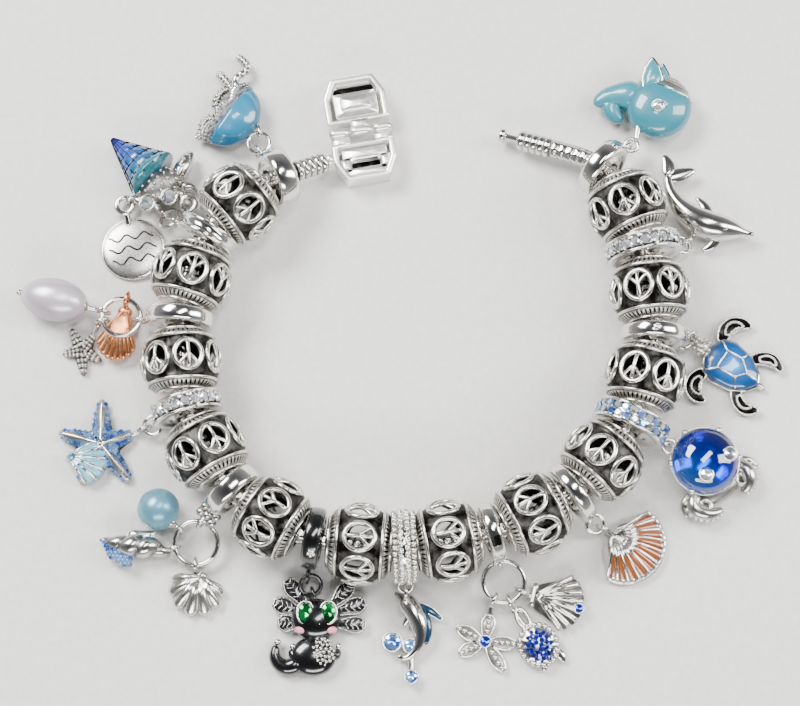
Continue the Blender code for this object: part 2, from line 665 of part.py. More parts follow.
def make_ring_of_three():
    on_ring = hung(5, 252, BIG_RADIUS_5, "ring_05", wire=BIG_WIRE, height=1.6)
    pearl = ball((4.9, 0, 3.3), (3.25, 3.25, 3.25), 10, 8)
    charm("blue_pearl", *on_ring(-112), [pearl], (2.6, 0.1, 2.9))
    spire = [(2.1, 0, 1.5), (3.2, -0.1, 1.7), (4.8, -0.6, 2.0), (7.0, -0.4, 2.1), (9.2, -0.4, 2.1),
             (10.8, -0.8, 2.0), (13.0, -1.4, 1.6)]
    body = rod(spire, [0.5, 0.8, 1.5, 2.0, 2.05, 1.5, 0.35], resolution=2)
    fin = plate([(4.6, -3.0), (9.4, -3.0), (9.0, -0.5), (5.0, -0.5)], 1.5, 2.4)
    charm("conch", *on_ring(-58), [body, fin], (2.8, 0, 1.55))
    shell = scallop((1.9, 0), 6.3, 96, 0.05, 2.5, ribs=6, ears=0.9)
    charm("clam", *on_ring(17), [shell], (2.8, 0.1, 1.0))


def make_axolotl():
    on_ring = hung(6, 288, 1.57, "axolotl_ring", finish="black_enamel")
    head = ball((4.3, -0.4, 1.7), (3.3, 3.6, 1.65), 10, 6)
    body = ball((9.6, -1.0, 1.4), (3.2, 2.9, 1.35))
    waist = block((5.6, -2.2, 0.4), (8.8, 1.2, 2.2))
    tail = rod([(9.6, -2.0, 1.2), (11.2, -5.0, 1.2), (9.6, -6.6, 1.2), (8.2, -6.4, 1.1)],
               [1.2, 1.0, 0.8, 0.5])
    gills = []
    for side, reach in ((-1, (6.2, 7.0, 6.4)), (1, (5.8, 7.0, 7.0))):
        for root, tip, length in zip((2.6, 3.8, 5.0), (-1.4, 1.6, 4.8), reach):
            fan = [(root - 0.5, 2.2 * side), (root + 0.5, 2.2 * side), (tip + 1.2, length * side),
                   (tip - 0.6, (length + 0.2) * side)]
            gills.append(plate(fan if side > 0 else fan[::-1], 0.6, 1.55))
    charm("axolotl", *on_ring(), [head, waist, body, tail, *gills], (2.4, 0, 1.4), 0.6)


def make_stone_dolphin():
    back = [(0.5, -2.3, 1.3), (1.8, -0.9, 1.35), (3.2, 0.5, 1.35), (5.6, 1.9, 1.35),
            (8.0, 1.9, 1.35), (9.8, 0.9, 1.35), (10.6, -0.4, 1.2), (10.4, -2.0, 1.0)]
    body = rod(back, [0.3, 0.85, 1.15, 1.2, 1.0, 0.75, 0.5, 0.3], resolution=2)
    fin = plate([(2.8, 1.2), (4.9, 4.7), (4.4, 5.0), (2.2, 2.4)], 0.9, 1.8)
    flipper = rod([(3.2, 0.2, 1.3), (5.4, -0.4, 0.8)], [0.6, 0.3])
    stem = rod([(8.6, 0.3, 1.0), (13.2, 0.3, 0.9)], [0.5, 0.5])
    bridge = rod([(8.1, -2.4, 0.9), (8.6, 0.3, 0.93)], [0.45, 0.55], resolution=1)
    cups = [cone((x, y, 0.05), (x, y, 1.9), r, r, 8)
            for x, y, r in ((8.1, -2.6, 1.66), (8.7, 0.15, 1.3), (13.4, 0.3, 1.2))]
    pieces = [body, fin, flipper, stem, bridge, *cups]
    charm("dolphin_stones", linked(7), Vector((1, 0, 0)), pieces, (2.6, 0.1, 1.4), 0.6)


def make_ring_of_charms():
    on_ring = hung(8, 283, BIG_RADIUS_8, "ring_08", wire=BIG_WIRE, height=1.75)
    tips = [(3.6, -0.3), (7.3, -4.4), (11.1, -2.7), (11.2, 4.6), (6.6, 5.0)]
    body = star((8.0, 0.4), tips, 0.05, 1.5, 1.2)
    charm("small_star", *on_ring(-42), [body], (5.0, 0, 0.7))
    shell = half_ball((8.6, 0.3, 0.05), (3.5, 3.1, 2.5), (0, 0, -1), 12, 6)
    flippers = [rod([(x0, y0, 0.8), (x1, y1, 0.6)], [0.7, 0.4])
                for x0, y0, x1, y1 in ((10.4, 2.0, 12.4, 2.4), (11.4, -0.4, 12.6, -0.8))]
    charm("pave_turtle", *on_ring(2), [shell, *flippers], (6.0, 0, 0.9), 0.6)
    fan = scallop((3.2, 0), 7.6, 74, 0.3, 2.0, ribs=6, ears=1.6)
    stone = cone((10.0, -0.3, 0.6), (10.0, -0.3, 2.2), 0.85, 0.85, 8)
    charm("fan_shell", *on_ring(48), [fan, stone], (3.9, 0, 1.2))


def make_orange_shell():
    on_ring = hung(9, -26, 1.45, "shell_ring")
    shell = scallop((2.4, 0), 8.4, 128, 0.05, 2.6, ribs=9, ears=2.6)
    charm("orange_shell", *on_ring(), [shell], (3.4, 0.1, 1.2))


def make_crab():
    glass = ball((6.6, 0.2, 3.9), (5.3, 5.3, 3.5), 12, 8)
    tray = cone((6.6, 0.2, 0.5), (6.6, 0.2, 3.2), 3.6, 5.0, 10)
    cups = [cone((x, y, 4.2), (x, y, 6.9), 1.1, 1.1, 8) for x, y in ((8.2, 3.2), (8.6, -1.6))]
    claws = [rod([(x, y, z) for x, y, z in places], [1.0, 1.5, 1.3, 0.5]) for places in (
        [(9.8, 3.2, 1.6), (11.6, 5.0, 1.6), (13.4, 3.8, 1.5), (13.6, 1.8, 1.4)],
        [(9.8, -3.0, 1.6), (11.6, -5.2, 1.6), (13.6, -3.6, 1.5), (13.8, -1.2, 1.4)])]
    charm("crab", linked(10), None, [tray, glass, *cups, *claws], (3.4, -1.6, 3.2), 0.6)


def make_turtle():
    on_ring = hung(11, 30, 1.45, "turtle_ring")
    rim = [(4.0, 1.0), (3.9, -1.4), (4.9, -3.2), (6.9, -4.0), (10.3, -3.7), (12.5, -2.4), (13.9, -0.5),
           (13.1, 1.2), (10.7, 3.1), (7.3, 3.8), (5.1, 3.2)]
    slab = plate(rim, 0.5, 1.4)
    crown = half_ball((8.7, -0.1, 1.0), (4.7, 3.5, 1.6), (0, 0, -1), 10, 6)
    head = ball((3.1, -0.1, 1.4), (1.25, 1.3, 1.2))
    throat = rod([(3.2, -0.1, 1.2), (4.8, -0.1, 1.1)], [0.7, 0.9])
    fins = [
        ([(5.3, 2.6), (4.9, 5.6), (5.9, 6.9), (7.7, 7.2)], (0.7, 0.9, 0.8, 0.4)),
        ([(5.4, -3.0), (4.9, -6.2), (5.9, -7.2), (7.7, -7.0)], (0.7, 0.9, 0.8, 0.4)),
        ([(10.7, 2.4), (12.9, 4.3), (15.4, 3.5)], (0.7, 0.8, 0.4)),
        ([(10.9, -2.8), (13.1, -4.7), (15.5, -3.8)], (0.7, 0.8, 0.4)),
        ([(13.1, -0.4), (14.7, -0.4)], (0.6, 0.3)),
    ]
    limbs = [rod([(x, y, 0.85) for x, y in places], radii, flatten=0.8) for places, radii in fins]
    charm("turtle", *on_ring(), [slab, crown, throat, head, *limbs], (2.7, 0.1, 1.2))


def make_silver_dolphin():
    on_ring = hung(12, 34, 1.45, "dolphin_ring")
    body = rod([(10.6, 1.0, 2.1), (8.4, 1.4, 2.3), (6.6, 1.8, 2.4), (4.0, 2.2, 2.6), (1.6, 3.2, 2.6),
                (-0.4, 4.8, 2.5), (-2.0, 7.0, 2.3), (-2.7, 11.6, 2.0)],
               [0.35, 0.7, 1.8, 2.2, 2.2, 1.8, 1.2, 0.6], resolution=2)
    flukes = [plate([(-3.2, 10.2), (-1.6, 10.0), (1.4, 11.4), (1.4, 12.1), (-1.8, 12.4)], 1.6, 2.5),
              plate([(-3.4, 10.6), (-2.0, 10.8), (-2.4, 13.0), (-3.2, 14.2), (-4.0, 13.0)], 1.6, 2.5)]
    dorsal = plate([(2.0, 3.6), (4.2, 3.2), (3.2, 5.6), (1.2, 7.4)], 2.2, 3.2)
    charm("silver_dolphin", *on_ring(), [body, *flukes, dorsal], (1.5, 2.2, 2.0), 0.6)


def make_whale():
    body = ball((7.0, -1.0, 3.0), (5.4, 5.2, 2.9), 12, 8)
    tail = rod([(5.2, 2.6, 2.6), (4.5, 5.2, 2.4), (2.2, 5.9, 2.2), (0.4, 6.9, 2.0)],
               [2.4, 1.9, 1.4, 0.7], resolution=1)
    lobe = rod([(2.6, 5.4, 2.2), (1.7, 3.6, 2.2), (1.5, 2.4, 2.2)], [1.2, 1.0, 0.7], resolution=1)
    fins = [plate([(8.6, 3.2), (10.4, 1.4), (12.0, 3.0), (12.8, 5.9), (10.0, 5.4)], 2.4, 3.6),
            plate([(9.4, 2.4), (11.0, 0.8), (13.0, 2.0), (13.2, 3.4), (11.2, 3.6)], 2.2, 3.2)]
    charm("whale", linked(13), None, [body, tail, lobe, *fins], (3.0, -0.4, 3.2), 0.7)


def clasp_half(depth):
    """One open box half: its walls and the recess that looks up, hinge side at +Y."""
    half, back = CLASP_WIDTH / 2, -HINGE_RADIUS - CLEARANCE
    across, along = CLASP_CORNER
    front = back - depth
    outline = [(-half, back), (-half, front + along), (-half + across, front),
               (half - across, front), (half, front + along), (half, back)]
    middle = (front + back) / 2
    wide, deep = 1 - 2 * CLASP_WALL / CLASP_WIDTH, 1 - 2 * CLASP_WALL / depth
    inner = [(x * wide, middle + (y - middle) * deep) for x, y in outline]
    return plate(outline, 0.0, CLASP_HEIGHT), plate(inner, CLASP_WALL, CLASP_HEIGHT + 1.0)


def knuckle(near, far, height):
    """A hinge barrel between two places along the hinge line, and the web that holds it."""
    barrel = cone((near, 0, height), (far, 0, height), HINGE_RADIUS, HINGE_RADIUS)
    back = -HINGE_RADIUS - CLEARANCE
    web = block((near + 0.2, back - 0.5, height - 0.9), (far - 0.2, -0.2, height - 0.2))
    return barrel, web


def notch(near, far):
    """The room that the other half's knuckle needs in this half's back wall."""
    back = -HINGE_RADIUS - CLEARANCE
    return block((near - CLEARANCE, back - 0.6, -1.0), (far + CLEARANCE, 1.0, CLASP_HEIGHT + 1.0))


def make_clasp():
    """Base and lid, both lying open: the lid's zero point is on the hinge's axis."""
    height = CLASP_HEIGHT + CLEARANCE / 2
    half, inner = CLASP_WIDTH / 2, CLASP_WIDTH / 6
    matrix = Matrix.Rotation(math.radians(CLASP_TURN), 4, "Z")
    matrix.translation = (*CLASP_AT, 0.0)
    into = -heading(0.0)
    near = matrix.inverted() @ (on_chain(0.0) + into * CLEARANCE)
    deep = matrix.inverted() @ (on_chain(0.0) + into * (CLEARANCE + LEFT_FERRULE))
    ferrule = cone(near, deep, FERRULE_RADIUS, FERRULE_RADIUS, 12)
    collar = cone(deep - (deep - near).normalized() * 0.2, (-half + 0.5, deep.y + 0.4, 2.55),
                  LEFT_NECK, LEFT_NECK, 8)
    shell, recess = clasp_half(BASE_DEPTH)
    front = -HINGE_RADIUS - CLEARANCE - BASE_DEPTH
    slot = block((-2.0, front - 1.0, 1.7), (2.0, front + 2.0, 2.6))
    base = fused([shell], [recess, notch(-inner, inner), slot])
    pin = cone((-half + 0.4, 0, height), (half - 0.4, 0, height), HINGE_PIN, HINGE_PIN, 8)
    left = knuckle(-half + 0.1, -inner - CLEARANCE, height)
    right = knuckle(inner + CLEARANCE, half - 0.1, height)
    node("clasp_base", fused([base, *left, *right, pin, ferrule, collar]), "silver", matrix)
    shell, recess = clasp_half(LID_DEPTH)
    side_notches = [notch(-half - 1.0, -inner - CLEARANCE), notch(inner + CLEARANCE, half + 1.0)]
    lid = fused([shell], [recess, *side_notches])
    bore = HINGE_PIN + CLEARANCE / 2
    lid = fused([lid, *knuckle(-inner, inner, height)],
                [cone((-half, 0, height), (half, 0, height), bore, bore, 8)])
    lid.transform(Matrix.Rotation(math.pi, 4, "Z"))
    lid.transform(Matrix.Translation((0, 0, -height * MM)))
    node("clasp_lid", lid, "silver", matrix @ Matrix.Translation((0, 0, height)))


def make_end_pin():
    end = on_chain(CHAIN_LENGTH)
    level = heading(CHAIN_LENGTH)
    start_point = end + level * CLEARANCE
    ferrule_end = start_point + level * RIGHT_FERRULE
    shank_end = ferrule_end + level * SHANK_LENGTH
    button_end = shank_end + level * BUTTON_LENGTH
    ferrule = cone(start_point, ferrule_end, FERRULE_RADIUS, FERRULE_RADIUS - 0.1, 12)
    shank = cone(ferrule_end - level * 0.4, shank_end + level * 0.2, SHANK_RADIUS, SHANK_RADIUS, 8)
    button = cone(shank_end, button_end, BUTTON_RADIUS, BUTTON_RADIUS, 12)
    node("end_pin", fused([ferrule, shank, button]), "silver", Matrix())


def stand_on_origin():
    """Shift every part so that the bottom centre of the bracelet's box is the origin."""
    bpy.context.view_layer.update()
    corners = np.array([made.matrix_world @ vertex.co for made in parts.objects
                        for vertex in made.data.vertices])
    low, high = corners.min(axis=0), corners.max(axis=0)
    shift = Matrix.Translation((-(low[0] + high[0]) / 2, -(low[1] + high[1]) / 2, -low[2]))
    for made in parts.objects:
        made.matrix_world = shift @ made.matrix_world


start()
make_chain()
make_beads()
make_bails()
make_clasp()
make_end_pin()
make_jellyfish()
make_hermit_crab()
make_pearl_and_shells()
make_blue_star()
make_ring_of_three()
make_axolotl()
make_stone_dolphin()
make_ring_of_charms()
make_orange_shell()
make_crab()
make_turtle()
make_silver_dolphin()
make_whale()
stand_on_origin()
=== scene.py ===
# %% [markdown]
# # A silver charm bracelet, lying open
# Twelve pierced beads and thirteen bails sit on a snake chain, and twenty charms hang from the bails.
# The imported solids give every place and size. This script gives each piece its fine surface, worked
# out with numpy: a shape is a function of two parameters on a grid, or a section carried along a path.

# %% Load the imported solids
import bmesh
import bpy
import numpy as np
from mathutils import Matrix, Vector


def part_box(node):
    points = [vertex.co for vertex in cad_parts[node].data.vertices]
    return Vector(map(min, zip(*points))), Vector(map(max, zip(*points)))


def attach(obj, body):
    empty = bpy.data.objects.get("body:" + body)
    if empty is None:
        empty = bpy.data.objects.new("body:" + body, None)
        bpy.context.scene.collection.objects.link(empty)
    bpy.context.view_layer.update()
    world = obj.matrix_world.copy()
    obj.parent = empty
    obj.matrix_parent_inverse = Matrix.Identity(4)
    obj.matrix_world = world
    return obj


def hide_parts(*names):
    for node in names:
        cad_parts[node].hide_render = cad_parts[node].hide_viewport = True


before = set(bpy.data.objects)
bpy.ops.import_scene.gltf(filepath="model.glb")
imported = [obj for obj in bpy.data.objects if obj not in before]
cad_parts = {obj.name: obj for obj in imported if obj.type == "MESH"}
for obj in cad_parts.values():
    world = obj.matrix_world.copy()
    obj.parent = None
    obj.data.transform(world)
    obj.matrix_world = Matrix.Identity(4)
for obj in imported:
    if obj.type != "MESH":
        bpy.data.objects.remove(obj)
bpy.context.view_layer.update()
MM = 0.001
TURN = 2 * np.pi
UP = np.array([0.0, 0.0, 1.0])

# %% [markdown]
# ## Where everything lies
# The chain is a soft curve laid by hand, so its few points are the same as in the solids' source. A
# natural cubic spline through them bends like a thin springy wire, which a snake chain nearly is.

# %% The chain's route
BEAD_RADIUS, BEAD_LENGTH, BAND_WIDTH, RIM_RADIUS = 6.4, 10.2, 6.4, 5.45
COLLAR_RADIUS, CHAIN_RADIUS, BORE_RADIUS, CLEARANCE = 2.35, 1.5, 1.9, 0.3
CHAIN_ROUTE = [
    (-16.9, 30.1, 4.5), (-19.6, 28.8, 5.4), (-22.7, 26.9, 6.2), (-29.6, 20.2, BEAD_RADIUS),
    (-33.0, 12.4, BEAD_RADIUS), (-34.2, -1.4, BEAD_RADIUS), (-29.9, -15.8, BEAD_RADIUS),
    (-18.8, -26.8, BEAD_RADIUS), (-5.0, -30.2, BEAD_RADIUS), (8.3, -29.4, BEAD_RADIUS),
    (20.9, -25.2, BEAD_RADIUS), (31.1, -17.4, BEAD_RADIUS), (38.4, -3.6, BEAD_RADIUS),
    (39.1, 10.4, BEAD_RADIUS), (37.0, 21.4, BEAD_RADIUS), (34.0, 28.2, 6.2), (30.6, 31.6, 5.2),
    (27.4, 33.4, 3.9), (24.4, 34.5, 3.3),
]


def unit(vectors):
    """Each vector divided by its own length."""
    vectors = np.asarray(vectors, float)
    return vectors / np.maximum(np.linalg.norm(vectors, axis=-1, keepdims=True), 1e-9)


def spline(knots, per_span=12):
    """A natural cubic through the knots: on each span, a mix of its two ends' values plus a cubic
    share of their bends, where the bends come from one linear system that makes slopes agree."""
    knots = np.asarray(knots, float)
    spans = np.linalg.norm(np.diff(knots[:, :3], axis=0), axis=1)
    slopes = np.diff(knots, axis=0) / spans[:, None]
    system = np.eye(len(knots))
    inner = np.arange(1, len(knots) - 1)
    system[inner, inner - 1], system[inner, inner] = spans[:-1], 2 * (spans[:-1] + spans[1:])
    system[inner, inner + 1] = spans[1:]
    right = np.zeros_like(knots)
    right[1:-1] = 6 * np.diff(slopes, axis=0)
    bend = np.linalg.solve(system, right)
    t = np.linspace(0, 1, per_span, endpoint=False)[None, :, None]
    low, high, h = 1 - t, t, spans[:, None, None]
    curve = (low * knots[:-1, None] + high * knots[1:, None]
             + h * h / 6 * ((low ** 3 - low) * bend[:-1, None] + (high ** 3 - high) * bend[1:, None]))
    return np.concatenate([curve.reshape(-1, knots.shape[1]), knots[-1:]])


def travelled(path):
    """How far each point of a path lies from its start, measured along the path."""
    return np.concatenate([[0], np.cumsum(np.linalg.norm(np.diff(path, axis=0), axis=1))])


def bearings(count):
    """Even angles once round a full turn."""
    return np.linspace(0, TURN, count, endpoint=False)


def compass(angle):
    """Level directions at some angles, one to a row."""
    return np.stack([np.cos(angle), np.sin(angle), 0 * angle], axis=1)


def leftwards(ways):
    """Flat directions turned a quarter to the left."""
    return np.stack([-ways[:, 1], ways[:, 0]], axis=1)


ROUTE = spline(CHAIN_ROUTE, 60)
ALONG = travelled(ROUTE)
CHAIN_LENGTH = ALONG[-1]


def on_chain(s):
    """The place at a distance s along the chain."""
    return np.stack([np.interp(s, ALONG, ROUTE[:, axis]) for axis in range(3)], axis=-1)


def heading(s, reach=0.4):
    """The chain's way at s, from a chord of twice the reach."""
    return unit(on_chain(s + reach) - on_chain(s - reach))


print("chain length, mm", round(CHAIN_LENGTH, 1))

# %% Where bails and beads are strung
BAIL_COLUMNS = ("radius", "width", "dip", "neck", "turn")
BAIL_ROWS = [
    (4.6, 3.4, 24, 1.2, 0), (5.1, 2.4, 26, 1.0, 0), (5.4, 2.5, 26, 1.2, 0), (5.5, 3.0, 44, 0.0, 0),
    (4.7, 3.0, 28, 1.8, 0), (4.8, 2.6, 34, 0.8, 4), (5.4, 2.1, 26, 0.0, 0), (4.7, 2.2, 40, 0.0, 0),
    (5.1, 2.2, 40, 0.0, 0), (6.0, 3.2, 30, 0.0, 2), (5.2, 2.4, 48, 0.0, 0), (6.0, 3.0, 32, 0.0, 0),
    (4.8, 2.8, 22, 0.6, 2),
]
BAILS = [dict(zip(BAIL_COLUMNS, row)) for row in BAIL_ROWS]
BEAD_COUNT, FIRST_BAIL_AT, FLAT_EYE = 12, 2.8, 7
EYE_RADIUS, EYE_WIRE, EYE_STAND = 1.05, 0.3, 0.78
EYE_HEIGHT = EYE_RADIUS + EYE_WIRE + 0.07
BIG_RADII = {3: 3.0, 5: 3.35, 8: 3.15}


def axes(place, x, y, z):
    """A 4x4 matrix from a place and three directions."""
    matrix = np.eye(4)
    matrix[:3, 0], matrix[:3, 1], matrix[:3, 2], matrix[:3, 3] = x, y, z, place
    return matrix


def about_z(degrees, place=(0, 0, 0)):
    """Turned about the vertical, then moved."""
    c, s = np.cos(np.radians(degrees)), np.sin(np.radians(degrees))
    return axes(place, (c, s, 0), (-s, c, 0), UP)


def about_x(radians):
    """Turned about the X axis, which is a bead's bore."""
    c, s = np.cos(radians), np.sin(radians)
    return axes((0, 0, 0), (1, 0, 0), (0, c, s), (0, -s, c))


def moved(matrix, places):
    """Places turned and moved by a matrix."""
    return np.asarray(places, float) @ matrix[:3, :3].T + matrix[:3, 3]


def strung():
    """Bails and beads in turn, each a gap on from the last, and more where the chain bends."""
    bails, beads, at = [FIRST_BAIL_AT], [], FIRST_BAIL_AT
    for number in range(BEAD_COUNT):
        for width in (BAILS[number]["width"], BAILS[number + 1]["width"]):
            reach = BEAD_LENGTH / 2 + width / 2 + CLEARANCE
            across = np.linalg.norm(np.cross(heading(at), heading(at + reach)))
            at += reach + COLLAR_RADIUS * across
            (beads if len(beads) < len(bails) else bails).append(at)
    return bails, beads


BAIL_AT, BEAD_AT = strung()


def seat(s):
    """A bead's place: X along the chord of its chain stretch, Z up, resting on the table."""
    before, after = on_chain(s - BEAD_LENGTH / 2), on_chain(s + BEAD_LENGTH / 2)
    ahead = unit((after - before) * (1, 1, 0))
    middle = (before + after) / 2
    return axes((*middle[:2], BEAD_RADIUS), ahead, np.cross(UP, ahead), UP)


def bail_place(number):
    """Z along the chain, X outwards and dipped, as the bail hangs."""
    s, bail = BAIL_AT[number - 1], BAILS[number - 1]
    ahead = about_z(bail["turn"])[:3, :3] @ heading(s)
    level = unit((ahead[1], -ahead[0], 0))
    dip = np.radians(bail["dip"])
    out = unit(level * np.cos(dip) - unit(np.cross(level, ahead)) * np.sin(dip))
    return axes(on_chain(s), out, np.cross(ahead, out), ahead)


def eye_reach(number):
    """How far a bail's eye stands out from the chain's middle."""
    bail = BAILS[number - 1]
    return bail["radius"] + EYE_STAND + bail["neck"]


def eye_of(number):
    """The centre of a bail's eye."""
    return moved(bail_place(number), (eye_reach(number), 0, 0))


def linked(number):
    """The centre of a charm's loop that passes straight through a bail's eye."""
    out = bail_place(number)[:3, 0]
    if number != FLAT_EYE:
        out = unit(out * (1, 1, 0))
    return eye_of(number) + out * EYE_RADIUS


def ring_place(bail, bearing, radius, height):
    """A jump ring that starts through a bail's eye and leans down to a height on a bearing."""
    start, turn = eye_of(bail), np.radians(bearing)
    drop = start[2] - height
    level = np.sqrt(max((2 * radius) ** 2 - drop ** 2, 0.01))
    far = start + (level * np.cos(turn), level * np.sin(turn), -drop)
    out, side = unit(far - start), np.array([-np.sin(turn), np.cos(turn), 0])
    return axes((start + far) / 2, out, side, np.cross(out, side))


RING_COLUMNS = ("bail", "bearing", "radius", "height")
RINGS = {name: dict(zip(RING_COLUMNS, row)) for name, row in {
    "jellyfish_ring": (1, 88, 1.75, 2.6), "crab_ring": (2, 140, 1.68, EYE_HEIGHT),
    "ring_03": (3, 170, BIG_RADII[3], 3.6), "star_ring": (4, 200, 1.45, EYE_HEIGHT),
    "ring_05": (5, 252, BIG_RADII[5], 1.6), "axolotl_ring": (6, 288, 1.57, EYE_HEIGHT),
    "ring_08": (8, 283, BIG_RADII[8], 1.75), "shell_ring": (9, -26, 1.45, EYE_HEIGHT),
    "turtle_ring": (11, 30, 1.45, EYE_HEIGHT), "dolphin_ring": (12, 34, 1.45, EYE_HEIGHT),
}.items()}


def on_ring(name, degrees=0.0):
    """A place on a ring's wire and the wire's direction there."""
    ring, turn = RINGS[name], np.radians(degrees)
    matrix = ring_place(**ring)
    place = moved(matrix, ring["radius"] * np.array([np.cos(turn), np.sin(turn), 0]))
    return place, matrix[:3, :3] @ (-np.sin(turn), np.cos(turn), 0)


ring_low, ring_high = (np.array(corner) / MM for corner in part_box("ring_05"))
ring_middle = ring_place(**RINGS["ring_05"])[:3, 3]
SHIFT = (ring_low + ring_high) / 2 - ring_middle
SHIFT[2] = 0.0
print("packed frame moved from the drawing by, mm", np.round(SHIFT, 3))

# %% [markdown]
# ## Camera, floor and light
# The photograph looks down at 76 degrees from about a third of a metre. The floor is a pale plain
# sheet. Polished silver shows only what it mirrors, so the soft boxes stand in a dim room: metal then
# gets both bright bands and deep greys, as on a photographer's table.

# %% Camera
ELEVATION, DISTANCE, TARGET_HEIGHT, FIELD, SENSOR = 76.0, 330.0, 6.3, 124.0, 36.0


def in_frame(places):
    """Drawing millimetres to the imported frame's metres."""
    return (np.asarray(places, float) + SHIFT) * MM


camera_data = bpy.data.cameras.new("camera")
camera_data.sensor_width = SENSOR
camera_data.lens = SENSOR * DISTANCE / FIELD
camera_data.clip_start, camera_data.clip_end = 0.01, 10.0
camera = bpy.data.objects.new("camera", camera_data)
tilt = np.radians(90 - ELEVATION)
camera.location = in_frame((0, -DISTANCE * np.sin(tilt), TARGET_HEIGHT + DISTANCE * np.cos(tilt)))
camera.rotation_euler = (tilt, 0, 0)
bpy.context.scene.collection.objects.link(camera)
bpy.context.scene.camera = camera
print("lens, mm", round(camera_data.lens, 1))


# %% A node helper and the colour helper
def linear(code):
    """An sRGB hex code as linear red, green and blue with alpha."""
    values = np.array([int(code[i:i + 2], 16) for i in (1, 3, 5)]) / 255
    values = np.where(values <= 0.04045, values / 12.92, ((values + 0.055) / 1.055) ** 2.4)
    return (*values, 1.0)


def fill(tree, node, inputs):
    """Each named input of a node linked to another node's output, or set to a value."""
    for key, value in inputs.items():
        if isinstance(value, bpy.types.NodeSocket):
            tree.links.new(value, node.inputs[key])
        else:
            node.inputs[key].default_value = value


def add(tree, kind, inputs=(), stops=(), **settings):
    """One node with its own settings, its inputs set or linked, and a colour ramp's stops."""
    made = tree.nodes.new(kind)
    for field, value in settings.items():
        setattr(made, field, value)
    fill(tree, made, dict(inputs))
    while stops and len(made.color_ramp.elements) < len(stops):
        made.color_ramp.elements.new(0.5)
    for element, (at, code) in zip(made.color_ramp.elements if stops else (), stops):
        element.position, element.color = at, linear(code)
    return made


# %% World and soft boxes
world = bpy.data.worlds.new("dim_studio")
world.use_nodes = True
bpy.context.scene.world = world
sky = world.node_tree
direction = add(sky, "ShaderNodeTexCoord").outputs["Generated"]
height_up = add(sky, "ShaderNodeSeparateXYZ", {0: direction}).outputs["Z"]
shade = add(sky, "ShaderNodeValToRGB", {"Fac": height_up},
            stops=[(0.0, "#C9C8C6"), (0.35, "#A5A6A8"), (0.75, "#5E6064"), (1.0, "#3C3D40")])
fill(sky, sky.nodes["Background"], {"Color": shade.outputs[0], "Strength": 0.75})

LIGHT_COLUMNS = ("place", "size", "power")
LIGHTS = {name: dict(zip(LIGHT_COLUMNS, row)) for name, row in {
    "key_box": ((-0.30, 0.26, 0.42), (0.30, 0.22), 7.0),
    "side_box": ((0.42, 0.05, 0.30), (0.16, 0.34), 3.2),
    "front_box": ((0.02, -0.46, 0.30), (0.42, 0.12), 2.6),
    "top_strip": ((0.10, 0.10, 0.60), (0.10, 0.34), 2.2),
}.items()}
for name, light in LIGHTS.items():
    lamp = bpy.data.lights.new(name, "AREA")
    lamp.shape = "RECTANGLE"
    lamp.size, lamp.size_y = light["size"]
    lamp.energy = light["power"]
    holder = bpy.data.objects.new(name, lamp)
    holder.location = light["place"]
    holder.rotation_euler = (-Vector(light["place"])).to_track_quat("-Z", "Y").to_euler()
    bpy.context.scene.collection.objects.link(holder)

# %% The floor
floor_paint = bpy.data.materials.new("matt_card")
floor_paint.use_nodes = True
tree = floor_paint.node_tree
speck = add(tree, "ShaderNodeTexNoise", {"Scale": 900.0, "Detail": 3.0,
                                         "Vector": add(tree, "ShaderNodeTexCoord").outputs["Object"]})
tint = add(tree, "ShaderNodeValToRGB", {"Fac": speck.outputs["Fac"]},
           stops=[(0.3, "#D5D3D0"), (0.7, "#DEDCD9")])
fill(tree, tree.nodes["Principled BSDF"], {"Base Color": tint.outputs[0], "Roughness": 0.8})
FLOOR_HALF, FLOOR_DROP = 1.5, 0.00002
corners = FLOOR_HALF * np.array([(-1, -1, 0), (1, -1, 0), (1, 1, 0), (-1, 1, 0)])
floor_mesh = bpy.data.meshes.new("floor")
floor_mesh.from_pydata((corners - (0, 0, FLOOR_DROP)).tolist(), [], [(0, 1, 2, 3)])
floor_mesh.materials.append(floor_paint)
floor = bpy.data.objects.new("floor", floor_mesh)
bpy.context.scene.collection.objects.link(floor)

# %% [markdown]
# ## The finishes
# Every finish reads one number on the surface, called tone. On metal it darkens the hollows: in
# antiqued silver that is dark tarnish, and inside a bead's bore it is painted shade as well. On enamel,
# pearl and glass it slides from one colour to the next; on the white pearl's sides that is painted
# shade, and over the cobalt glass a painted glow and painted shade. Each finish also has the small
# unevenness of its own making: buffing marks, cast pits, orange peel, or layers.


# %% Metals
def blank(name):
    """A new material with its node tree, its shader, its object coordinates and its tone."""
    made = bpy.data.materials.new(name)
    made.use_nodes = True
    tree = made.node_tree
    place = add(tree, "ShaderNodeTexCoord").outputs["Object"]
    tone = add(tree, "ShaderNodeAttribute", attribute_name="tone").outputs["Fac"]
    return made, tree, tree.nodes["Principled BSDF"], place, tone


